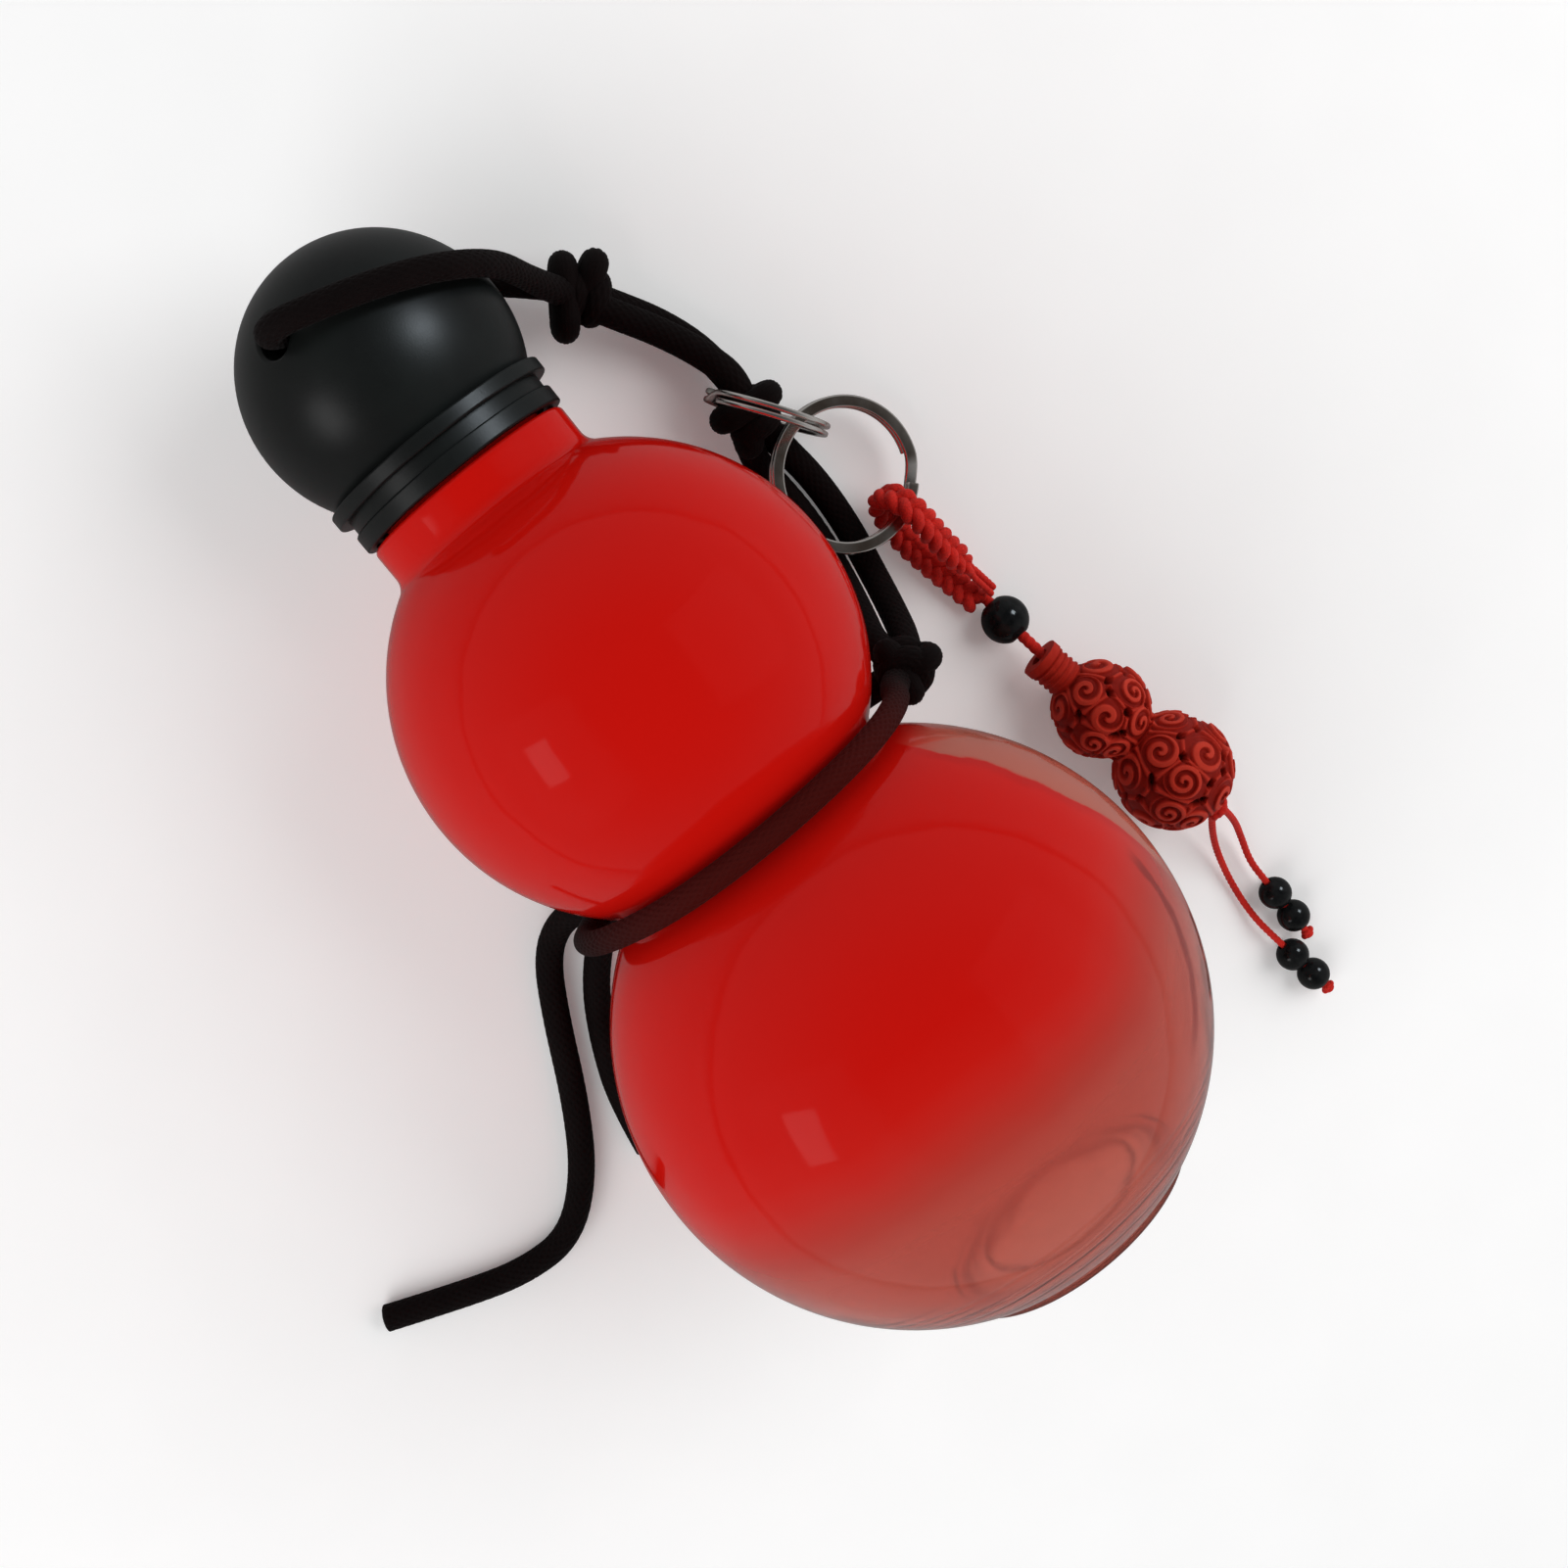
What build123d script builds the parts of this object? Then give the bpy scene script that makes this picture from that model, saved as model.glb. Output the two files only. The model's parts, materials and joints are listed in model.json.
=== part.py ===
"""Gourd water bottle: two blown bulbs, a ball-shaped screw cap and a knotted cord with rings and a charm.

The bottle lies on its side, on both bulbs. +Z is up, +X runs along the bottle towards the cap, level
with the ground, and +Y is the side that the cord's free tails lie on. All sizes are in millimetres.
"""

import os
from math import asin, cos, degrees, pi, radians, sin, sqrt, tan

from build123d import *

# Bottle, outside
lower_radius = 44.0
upper_radius = 34.3
bulb_spacing = 64.6
waist_fillet = 1.8
collar_length = 6.2
collar_inset = 0.6
collar_fillet = 2.6
collar_edge = 0.8
finish_length = 14.6
finish_wall = 1.8
lip_fillet = 0.5
wall = 1.6

# Bottle, foot
foot_radius = 20.8
foot_height = 1.03
foot_edge = 0.8
foot_land = 3.2
punt_depth = 3.5
punt_step_inset = 4.4
punt_step_depth = 0.7
base_wall = 2.2

# Cap
ball_radius = 20.0
ball_rise = 2.5
ball_wall = 2.4
rim_gap = 0.4
skirt_inset = 2.8
skirt_wall = 0.8
skirt_edge = 0.28
bead_height = 2.6
ridge_inset = 1.8
ridge_start = 4.6
ridge_height = 2.1
groove_inset = 3.4
cup_wall = 1.2
cup_plate = 1.6
cup_recess = 0.6
cup_fit = 0.02
thread_room = 1.2
seal_thickness = 1.5
seal_clearance = 0.3
seal_gap = 0.2
seal_groove_width = 0.9
seal_groove_depth = 0.4
cord_hole_radius = 2.75
cord_hole_height = 10.2
cord_hole_turn = 28.9
cord_hole_edge = 0.5

# Carrying cord
cord_diameter = 4.5
bight_radius = 2.4
knot_core_radius = 4.6

# How much of its shorter run each corner of a cord's route may round off
run_share = 0.45

# Split rings: outer diameter, width and thickness of the wire, and the gap between the two turns
small_ring_diameter = 20.0
small_ring_width = 1.5
key_ring_diameter = 25.0
key_ring_width = 2.0
ring_wire_thickness = 0.85
ring_turn_gap = 0.42
ring_jog_turn = 26.0

# Charm
thread_diameter = 1.9
tail_diameter = 1.2
braid_diameter = 3.8
large_bead_diameter = 8.0
large_bead_flat = 1.6
large_bead_bore = 2.5
charm_upper_radius = 8.4
charm_lower_radius = 10.2
charm_spacing = 16.6
charm_bore = 3.2
charm_neck_radius = 3.1
charm_lip_radius = 3.5
charm_lip_length = 1.5
charm_neck_length = 13.9
charm_base_distance = 8.7
charm_fillet = 1.2
charm_cord_lead = 4.9
charm_cord_bend = 1.6
small_bead_diameter = 5.8
small_bead_flat = 0.95
small_bead_bore = 1.7
small_bead_spacing = 5.8
end_knot_radius = 1.7
stop_knot_radius = 1.1

# Places of the pieces on the cord, beside the bottle, and the turns that they lie at in degrees
small_ring_x = 31.5
small_ring_y = -42.8
small_ring_turn = 215.7
key_ring_x = 15.9
key_ring_y = -47.2
key_ring_height = 8.0
key_ring_tilt = 9.2
key_ring_jog_place = 225.4
large_bead_x = -20.6
large_bead_y = -55.15
charm_x = -58.1
charm_y = -61.9
charm_turn = 192.2

# How far pieces stay off the ground, how far cuts run past a face, and how near a chosen edge's size is
ground_gap = 0.05
overrun = 1.0
edge_match = 0.02

# The cap's skirt steps in from its ball, the cup fits in the skirt, and the neck fits in the cup
ridge_radius = ball_radius - ridge_inset
skirt_radius = ball_radius - skirt_inset
groove_radius = ball_radius - groove_inset
cup_radius = groove_radius - skirt_wall
seat_radius = cup_radius - cup_wall
seal_radius = seat_radius - seal_clearance
finish_radius = seat_radius - thread_room
mouth_radius = finish_radius - finish_wall
collar_radius = skirt_radius - collar_inset

# Places along the axis towards the cap, from the upper bulb's centre
collar_end = sqrt(upper_radius**2 - collar_radius**2) + collar_length
mouth_end = collar_end + finish_length
rim_place = collar_end + rim_gap
ridge_place = rim_place + ridge_start
skirt_top = ridge_place + ridge_height + ball_rise
ball_distance = skirt_top + sqrt(ball_radius**2 - ridge_radius**2)
cup_top = mouth_end + seal_gap + seal_thickness + cup_plate

# The foot stands out from the lower bulb, and the punt lies inside the foot's land
foot_distance = sqrt(lower_radius**2 - foot_radius**2) + foot_height
punt_radius = foot_radius - foot_land
punt_step_radius = punt_radius - punt_step_inset
bottle_length = foot_distance + bulb_spacing + ball_distance + ball_radius

# The bottle's axis dips towards the cap, because the smaller bulb lies on the ground too
dip = asin((lower_radius - upper_radius) / bulb_spacing)
axis_direction = Vector(cos(dip), 0, -sin(dip))
up_direction = Vector(sin(dip), 0, cos(dip))
tail_side = Vector(0, 1, 0)

# Along X the bottle's box is centred: from the lower bulb's back to the front of the cap's ball
back_reach = bulb_spacing * cos(dip) + lower_radius
front_reach = ball_distance * cos(dip) + ball_radius
upper_centre = Vector((back_reach - front_reach) / 2, 0, upper_radius)
lower_centre = upper_centre - axis_direction * bulb_spacing
ball_centre = upper_centre + axis_direction * ball_distance

# Profiles are drawn with X along the bottle's axis from the upper bulb's centre, and Y outwards
profile_plane = Plane(origin=upper_centre, x_dir=axis_direction, z_dir=-tail_side)
bottle_axis = Axis(upper_centre, axis_direction)

os.makedirs("parts", exist_ok=True)


def heading(turn):
    """The level direction at a turn from +X towards +Y, in degrees."""
    return Vector(cos(radians(turn)), sin(radians(turn)), 0)


def save(part, name):
    """Label a finished piece and write it."""
    part.label = name
    export_step(part, f"parts/{name}.step")


def half_plane(reach):
    """The upper half of a profile: what a turn about the axis needs."""
    with Locations((0, reach / 2)):
        Rectangle(2 * reach, reach, mode=Mode.INTERSECT)


def waist_corners(sketch):
    """The corner between the two bulbs."""
    crossing = crossing_distance(lower_radius, upper_radius, bulb_spacing) - bulb_spacing
    return [v for v in sketch.vertices() if abs(v.X - crossing) < wall and v.Y > 0]


def crossing_distance(first_radius, second_radius, spacing):
    """How far from the first centre two circles cross."""
    return (spacing**2 + first_radius**2 - second_radius**2) / (2 * spacing)


# Bottle body: a blown shell, open at the mouth
punt_ball_radius = (punt_radius**2 + punt_depth**2) / (2 * punt_depth)
punt_ball_place = -bulb_spacing - foot_distance + punt_depth - punt_ball_radius
foot_place = -bulb_spacing - foot_distance
foot_root = -bulb_spacing - sqrt(lower_radius**2 - foot_radius**2) + foot_edge

with BuildPart() as bottle_shell:
    with BuildSketch(profile_plane) as body_profile:
        Circle(upper_radius)
        with Locations((-bulb_spacing, 0)):
            Circle(lower_radius)
        with Locations(((foot_place + foot_root) / 2, 0)):
            Rectangle(foot_root - foot_place, 2 * foot_radius)
        with Locations((collar_end / 2, 0)):
            Rectangle(collar_end, 2 * collar_radius)
        with Locations((mouth_end / 2, 0)):
            Rectangle(mouth_end, 2 * finish_radius)
        with Locations((foot_place - lower_radius / 2, 0)):
            Rectangle(lower_radius, 2 * lower_radius, mode=Mode.SUBTRACT)
        with Locations((punt_ball_place, 0)):
            Circle(punt_ball_radius, mode=Mode.SUBTRACT)
        half_plane(bottle_length)
    revolve(axis=bottle_axis)
    waist_edges = bottle_shell.edges().filter_by(GeomType.CIRCLE)
    crossing = crossing_distance(lower_radius, upper_radius, bulb_spacing)
    crossing_radius = sqrt(lower_radius**2 - crossing**2)
    fillet([e for e in waist_edges if abs(e.radius - crossing_radius) < edge_match], waist_fillet)
    ring_edges = bottle_shell.edges().filter_by(GeomType.CIRCLE)
    collar_edges = [e for e in ring_edges if abs(e.radius - collar_radius) < edge_match]
    fillet(sorted(collar_edges, key=lambda e: (e.center() - upper_centre).length)[0], collar_fillet)
    ring_edges = bottle_shell.edges().filter_by(GeomType.CIRCLE)
    collar_edges = [e for e in ring_edges if abs(e.radius - collar_radius) < edge_match]
    fillet(sorted(collar_edges, key=lambda e: (e.center() - upper_centre).length)[-1], collar_edge)
    ring_edges = bottle_shell.edges().filter_by(GeomType.CIRCLE)
    foot_edges = [e for e in ring_edges if abs(e.radius - foot_radius) < edge_match]
    fillet(sorted(foot_edges, key=lambda e: (e.center() - upper_centre).length)[-1], foot_edge)
    # The inside follows the outside at one wall, over the punt too
    with BuildSketch(profile_plane) as cavity_profile:
        Circle(upper_radius - wall)
        with Locations((-bulb_spacing, 0)):
            Circle(lower_radius - wall)
        with Locations(((mouth_end + overrun) / 2, 0)):
            Rectangle(mouth_end + overrun, 2 * mouth_radius)
        with Locations((punt_ball_place, 0)):
            Circle(punt_ball_radius + base_wall, mode=Mode.SUBTRACT)
        half_plane(bottle_length)
        fillet(waist_corners(cavity_profile), waist_fillet + wall)
    revolve(axis=bottle_axis, mode=Mode.SUBTRACT)
    lip_edges = bottle_shell.edges().filter_by(GeomType.CIRCLE)
    lip_plane_edges = [
        e for e in lip_edges
        if abs((e.arc_center - upper_centre).dot(axis_direction) - mouth_end) < edge_match
    ]
    fillet(lip_plane_edges, lip_fillet)
    # A shallow moulded ring in the middle of the punt
    punt_step_place = punt_ball_place + sqrt(punt_ball_radius**2 - punt_step_radius**2)
    with BuildSketch(profile_plane):
        with Locations(((punt_step_place + foot_place) / 2, punt_step_radius)):
            Rectangle(punt_step_place - foot_place, 2 * punt_step_depth)
        with Locations((punt_ball_place, 0)):
            Circle(punt_ball_radius - punt_step_depth, mode=Mode.SUBTRACT)
    revolve(axis=bottle_axis)

save(bottle_shell.part, "bottle_shell")

# Cap cover: a hollow ball on a ribbed skirt, with a cross hole for the cord
hole_angle = radians(cord_hole_turn)
hole_direction = up_direction * cos(hole_angle) + tail_side * sin(hole_angle)
hole_centre = ball_centre + axis_direction * cord_hole_height
hole_plane = Plane(origin=hole_centre, x_dir=axis_direction, z_dir=hole_direction)

with BuildPart() as cap_cover:
    with BuildSketch(profile_plane) as cover_profile:
        with Locations((ball_distance, 0)):
            Circle(ball_radius)
        with Locations((rim_place - ball_radius, 0)):
            Rectangle(2 * ball_radius, 4 * ball_radius, mode=Mode.SUBTRACT)
        with Locations(((rim_place + skirt_top) / 2, 0)):
            Rectangle(skirt_top - rim_place, 2 * groove_radius)
        with Locations((rim_place + bead_height / 2, 0)):
            Rectangle(bead_height, 2 * skirt_radius)
        with Locations((ridge_place + ridge_height / 2, 0)):
            Rectangle(ridge_height, 2 * ridge_radius)
        half_plane(bottle_length)
    revolve(axis=bottle_axis)
    cover_edges = cap_cover.edges().filter_by(GeomType.CIRCLE)
    fillet([e for e in cover_edges if abs(e.radius - skirt_radius) < edge_match], skirt_edge)
    cover_edges = cap_cover.edges().filter_by(GeomType.CIRCLE)
    fillet([e for e in cover_edges if abs(e.radius - ridge_radius) < edge_match], skirt_edge)
    with BuildSketch(profile_plane) as cup_bore_profile:
        with Locations(((rim_place - overrun + cup_top) / 2, 0)):
            Rectangle(cup_top - rim_place + overrun, 2 * cup_radius)
        half_plane(bottle_length)
    revolve(axis=bottle_axis, mode=Mode.SUBTRACT)
    with BuildSketch(profile_plane) as dome_profile:
        with Locations((ball_distance, 0)):
            Circle(ball_radius - ball_wall)
        with Locations((cup_top + ball_radius - overrun, 0)):
            Rectangle(2 * ball_radius, 2 * seat_radius, mode=Mode.INTERSECT)
        half_plane(bottle_length)
    revolve(axis=bottle_axis, mode=Mode.SUBTRACT)
    with BuildSketch(hole_plane):
        Circle(cord_hole_radius)
    extrude(amount=2 * ball_radius, both=True, mode=Mode.SUBTRACT)
    hole_rims = [
        e for e in cap_cover.edges()
        if e.geom_type != GeomType.LINE
        and (e @ 0 - ball_centre).length > ball_radius - ball_wall / 2
        and abs((e @ 0 - hole_centre).cross(hole_direction).length - cord_hole_radius) < edge_match
    ]
    fillet(hole_rims, cord_hole_edge)

save(cap_cover.part, "cap_cover")

# Threaded cup inside the cap: its thread lies inside this plain bore
with BuildPart() as cap_cup:
    with BuildSketch(profile_plane):
        with Locations(((rim_place + cup_recess + cup_top) / 2, 0)):
            Rectangle(cup_top - rim_place - cup_recess, 2 * (cup_radius - cup_fit))
        with Locations(((rim_place + cup_top - cup_plate) / 2, 0)):
            Rectangle(cup_top - cup_plate - rim_place, 2 * (cup_radius - cup_wall), mode=Mode.SUBTRACT)
        half_plane(bottle_length)
    revolve(axis=bottle_axis)

save(cap_cup.part, "cap_cup")

# Sealing disc: lies against the cup's plate, with a ring groove that meets the bottle's lip
seal_bottom = mouth_end + seal_gap
groove_centre = (mouth_radius + finish_radius) / 2
with BuildPart() as cap_seal:
    with BuildSketch(profile_plane):
        with Locations((seal_bottom + seal_thickness / 2, 0)):
            Rectangle(seal_thickness, 2 * seal_radius)
        with Locations((seal_bottom, groove_centre)):
            Rectangle(2 * seal_groove_depth, seal_groove_width, mode=Mode.SUBTRACT)
        half_plane(bottle_length)
    revolve(axis=bottle_axis)

save(cap_seal.part, "cap_seal")


def corner_radii(route):
    """The largest arc that each corner of a route has room for."""
    radii = []
    for before, corner, after in zip(route, route[1:], route[2:]):
        arrive = Vector(corner) - Vector(before)
        leave = Vector(after) - Vector(corner)
        half_turn = radians(arrive.get_angle(leave)) / 2
        radii.append(run_share * min(arrive.length, leave.length) / tan(half_turn))
    return radii


def cord(name, route, diameter):
    """A tube of straight runs joined by tangent arcs."""
    radii = corner_radii(route)
    with BuildPart() as tube:
        with BuildLine() as path:
            FilletPolyline(*route, radius=radii)
        spine = path.wire()
        with BuildSketch(Plane(origin=spine @ 0, z_dir=spine % 0)):
            Circle(diameter / 2)
        sweep(path=spine)
    expected = pi * (diameter / 2) ** 2 * spine.length
    print(
        f"{name}: length {spine.length:.1f}, volume / expected {tube.part.volume / expected:.3f},"
        f" radii {[round(r, 1) for r in radii]}"
    )
    save(tube.part, name)
    return tube.part


# Routes of the carrying cord, from the cap down to the tails
cap_loop_route = [
    (63.8, -28.4, 12.6),
    (68.8, -26.6, 19.0),
    (73.6, -23.6, 30.0),
    (77.0, -18.6, 40.4),
    (80.4, -10.5, 46.4),
    (83.0, -1.0, 48.0),
    (84.1, 6.6, 45.6),
    (83.2, 9.2, 41.2),
    (78.0, -9.9, 6.7),
    (74.6, -18.0, 4.2),
    (69.4, -25.2, 4.6),
]
upper_span_low_route = [
    (58.2, -35.0, 4.4),
    (52.0, -38.9, 2.4),
    (45.4, -41.6, 2.4),
    (38.9, -42.3, 3.6),
]
upper_span_high_route = [
    (57.4, -33.0, 9.4),
    (51.4, -37.2, 7.4),
    (44.8, -40.5, 7.4),
    (38.3, -42.4, 8.6),
]
lower_span_right_route = [
    (25.8, -42.4, 4.2),
    (17.8, -43.9, 2.4),
    (8.4, -43.7, 2.4),
    (-0.2, -41.8, 5.6),
    (-4.8, -39.6, 13.0),
    (-8.4, -37.0, 21.4),
]
lower_span_left_route = [
    (26.6, -37.4, 4.4),
    (17.8, -38.7, 2.8),
    (9.6, -38.7, 2.8),
    (2.6, -37.0, 7.4),
    (-1.6, -34.8, 15.2),
    (-4.6, -32.6, 22.6),
]
waist_front_route = [
    (-8.8, -29.0, 33.8),
    (-7.4, -27.7, 44.1),
    (-5.6, -21.1, 55.9),
    (-4.4, -10.3, 63.5),
    (-4.1, 2.8, 65.6),
    (-4.8, 15.4, 60.8),
    (-5.8, 24.7, 50.9),
    (-7.6, 29.5, 38.6),
    (-9.8, 28.1, 26.5),
    (-11.2, 25.8, 19.4),
]
waist_back_route = [
    (-10.4, -28.4, 21.2),
    (-11.4, -18.4, 14.2),
    (-12.1, -5.6, 11.2),
    (-12.1, 6.0, 11.2),
    (-11.9, 16.6, 12.8),
]
long_tail_route = [
    (-11.2, 27.6, 10.6),
    (-11.4, 32.8, 6.4),
    (-15.6, 38.4, 3.0),
    (-24.6, 43.8, 2.4),
    (-38.5, 50.8, 2.4),
    (-49.6, 58.0, 2.4),
    (-56.6, 66.6, 2.4),
    (-56.2, 76.0, 2.4),
    (-52.4, 86.0, 2.4),
    (-46.8, 98.0, 2.4),
]
short_tail_route = [
    (-15.0, 26.4, 9.6),
    (-19.6, 31.2, 5.2),
    (-26.2, 36.6, 2.4),
    (-34.4, 41.2, 2.4),
    (-43.6, 45.0, 2.4),
    (-53.0, 46.8, 2.4),
]

cord("cord_cap_loop", cap_loop_route, cord_diameter)
cord("cord_upper_span_low", upper_span_low_route, cord_diameter)
cord("cord_upper_span_high", upper_span_high_route, cord_diameter)
cord("cord_lower_span_right", lower_span_right_route, cord_diameter)
cord("cord_lower_span_left", lower_span_left_route, cord_diameter)
cord("cord_waist_front", waist_front_route, cord_diameter)
cord("cord_waist_back", waist_back_route, cord_diameter)
cord("cord_long_tail", long_tail_route, cord_diameter)
cord("cord_short_tail", short_tail_route, cord_diameter)


def knot(name, centre, bights):
    """A tied knot: a core with the bights of cord that stand out of it."""
    with BuildPart() as tied:
        with Locations(centre):
            Sphere(knot_core_radius)
        for start, end in bights:
            bight = Vector(end) - Vector(start)
            middle = (Vector(start) + Vector(end)) / 2
            with BuildSketch(Plane(origin=middle, x_dir=bight, z_dir=bight.cross(Vector(0, 0, 1)))):
                SlotCenterToCenter(bight.length, 2 * bight_radius)
                half_plane(bight.length + 2 * bight_radius)
            revolve(axis=Axis(middle, bight))
    save(tied.part, name)
    return tied.part


# Centres of the four knots and the ends of their bights
upper_knot_centre = (63.0, -31.0, 8.6)
upper_knot_bights = [
    [(67.6, -30.0, 9.0), (59.0, -25.6, 9.2)],
    [(65.6, -34.6, 9.4), (59.8, -32.0, 6.2)],
    [(66.4, -27.8, 6.6), (60.8, -33.6, 10.8)],
]
middle_knot_centre = (32.8, -41.2, 7.4)
middle_knot_bights = [
    [(33.6, -45.4, 9.2), (37.8, -41.8, 9.2)],
    [(34.4, -34.8, 6.6), (29.4, -37.0, 8.2)],
    [(29.8, -41.2, 5.6), (27.0, -42.1, 4.2)],
]
lower_knot_centre = (-9.6, -33.6, 27.2)
lower_knot_bights = [
    [(-7.0, -33.2, 25.0), (-11.8, -39.0, 27.4)],
    [(-6.6, -34.4, 28.4), (-11.8, -32.4, 30.6)],
    [(-12.8, -34.4, 25.0), (-9.4, -31.2, 30.4)],
]
waist_knot_centre = (-12.0, 22.2, 14.0)
waist_knot_bights = [
    [(-9.4, 20.6, 11.4), (-15.2, 23.4, 11.4)],
    [(-11.2, 25.0, 16.6), (-13.6, 19.8, 11.0)],
]

knot("cord_upper_knot", upper_knot_centre, upper_knot_bights)
knot("cord_middle_knot", middle_knot_centre, middle_knot_bights)
knot("cord_lower_knot", lower_knot_centre, lower_knot_bights)
knot("cord_waist_knot", waist_knot_centre, waist_knot_bights)


def wire_section(turn, height, radius):
    """The plane across a flat ring's wire, at a turn about Z."""
    turned = Plane.XY.offset(height).rotated((0, 0, turn))
    return Plane(origin=turned.from_local_coords((radius, 0, 0)), x_dir=turned.x_dir, z_dir=turned.y_dir)


def split_ring(name, plane, diameter, width):
    """Two flat turns of one wire, lying on each other and joined by a short jog."""
    half_pitch = (ring_wire_thickness + ring_turn_gap) / 2
    radius = (diameter - width) / 2
    with BuildPart() as ring:
        for height in (-half_pitch, half_pitch):
            with BuildSketch(wire_section(ring_jog_turn, height, radius)):
                Rectangle(width, ring_wire_thickness)
            revolve(axis=Axis.Z, revolution_arc=360 - ring_jog_turn)
        with BuildSketch(wire_section(0, -half_pitch, radius)) as jog_start:
            Rectangle(width, ring_wire_thickness)
        with BuildSketch(wire_section(ring_jog_turn, half_pitch, radius)) as jog_end:
            Rectangle(width, ring_wire_thickness)
        loft([jog_start.sketch.face(), jog_end.sketch.face()], ruled=True)
    placed = ring.part.moved(plane.location)
    print(f"{name}: least gap between turns {ring_turn_gap:.2f}, solids {len(placed.solids())}")
    save(placed, name)
    return placed


# The small ring stands upright round the middle knot, and the key ring lies through it on the cord
small_ring_centre = Vector(small_ring_x, small_ring_y, small_ring_diameter / 2 + ground_gap)
small_ring_side = heading(small_ring_turn)
small_ring_normal = Vector(0, 0, 1).cross(small_ring_side)
small_ring_plane = Plane(origin=small_ring_centre, x_dir=-small_ring_side, z_dir=small_ring_normal)

key_ring_centre = Vector(key_ring_x, key_ring_y, key_ring_height)
key_ring_normal = Vector(0, 0, 1).rotate(Axis.X, key_ring_tilt)
key_ring_plane = Plane(origin=key_ring_centre, x_dir=heading(key_ring_jog_place), z_dir=key_ring_normal)

split_ring("small_split_ring", small_ring_plane, small_ring_diameter, small_ring_width)
split_ring("key_split_ring", key_ring_plane, key_ring_diameter, key_ring_width)

# The charm hangs on a braided loop that wraps the key ring's wire
braid_route = [
    (-15.4, -52.9, 2.2),
    (-7.0, -50.4, 2.1),
    (1.0, -48.9, 2.3),
    (7.8, -49.5, 3.8),
    (9.6, -50.8, 8.4),
    (5.8, -52.2, 12.2),
    (-2.4, -53.6, 9.2),
    (-9.6, -55.4, 4.8),
    (-15.6, -56.9, 2.3),
]
cord("charm_braid", braid_route, braid_diameter)

# The charm lies on the ground on both its bulbs, so its axis rises towards the larger one
charm_lower_centre = Vector(charm_x, charm_y, charm_lower_radius + ground_gap)
charm_rise = asin((charm_lower_radius - charm_upper_radius) / charm_spacing)
charm_direction = heading(charm_turn) * cos(charm_rise) + Vector(0, 0, sin(charm_rise))
charm_upper_centre = charm_lower_centre - charm_direction * charm_spacing
charm_plane = Plane(
    origin=charm_upper_centre, x_dir=charm_direction, z_dir=charm_direction.cross(Vector(0, 0, 1))
)
charm_axis = Axis(charm_upper_centre, charm_direction)
charm_mouth = charm_upper_centre - charm_direction * charm_neck_length
charm_base = charm_lower_centre + charm_direction * charm_base_distance

with BuildPart() as gourd_charm:
    with BuildSketch(charm_plane):
        Circle(charm_upper_radius)
        with Locations((charm_spacing, 0)):
            Circle(charm_lower_radius)
        with Locations((-charm_neck_length / 2, 0)):
            Rectangle(charm_neck_length, 2 * charm_neck_radius)
        with Locations((charm_lip_length / 2 - charm_neck_length, 0)):
            Rectangle(charm_lip_length, 2 * charm_lip_radius)
        with Locations((charm_spacing + charm_base_distance + charm_lower_radius, 0)):
            Rectangle(2 * charm_lower_radius, 2 * charm_lower_radius, mode=Mode.SUBTRACT)
        with Locations((charm_spacing / 2, 0)):
            Rectangle(4 * charm_spacing, charm_bore, mode=Mode.SUBTRACT)
        half_plane(4 * charm_spacing)
    revolve(axis=charm_axis)
    charm_waist = crossing_distance(charm_upper_radius, charm_lower_radius, charm_spacing)
    charm_waist_radius = sqrt(charm_upper_radius**2 - charm_waist**2)
    charm_edges = gourd_charm.edges().filter_by(GeomType.CIRCLE)
    fillet([e for e in charm_edges if abs(e.radius - charm_waist_radius) < edge_match], charm_fillet)

save(gourd_charm.part, "gourd_charm")

# The doubled cord runs from the braid through the large bead and the charm
large_bead_centre = Vector(large_bead_x, large_bead_y, large_bead_diameter / 2 + ground_gap)
bead_heading = (charm_mouth - large_bead_centre).normalized()
charm_cord_route = [
    tuple(large_bead_centre - bead_heading * charm_cord_lead),
    tuple(charm_mouth - charm_direction * charm_cord_bend),
    tuple(charm_base + charm_direction * end_knot_radius),
]
cord("charm_cord", charm_cord_route, thread_diameter)


def bead(name, centre, along, diameter, flat_radius, bore):
    """A round bead with a small flat at each end of its bore."""
    half_length = sqrt((diameter / 2) ** 2 - flat_radius**2)
    with BuildPart() as round_bead:
        with BuildSketch(Plane(origin=centre, x_dir=along, z_dir=along.cross(Vector(0, 0, 1)))):
            Circle(diameter / 2)
            Rectangle(2 * half_length, diameter, mode=Mode.INTERSECT)
            Rectangle(diameter, bore, mode=Mode.SUBTRACT)
            half_plane(diameter)
        revolve(axis=Axis(centre, along))
    save(round_bead.part, name)
    return round_bead.part


bead("large_bead", large_bead_centre, bead_heading, large_bead_diameter, large_bead_flat, large_bead_bore)

# Two thin tails leave the end knot, and each carries two small beads above a stop knot
small_bead_height = small_bead_diameter / 2 + ground_gap
right_tail_route = [
    (-68.9, -64.9, 11.0),
    (-73.4, -66.4, 7.4),
    (-79.2, -66.6, 3.2),
    (-84.4, -65.6, 2.2),
    (-88.4, -65.6, small_bead_height),
    (-102.4, -66.4, small_bead_height),
]
left_tail_route = [
    (-68.6, -63.0, 10.6),
    (-72.8, -62.2, 6.8),
    (-79.0, -61.6, 2.6),
    (-86.4, -60.8, 1.0),
    (-93.0, -60.4, 1.6),
    (-98.4, -60.9, small_bead_height),
    (-113.6, -63.7, small_bead_height),
]
tails = {"right": right_tail_route, "left": left_tail_route}
first_bead_share = {"right": 0.27, "left": 0.36}
bead_number = 0
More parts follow.
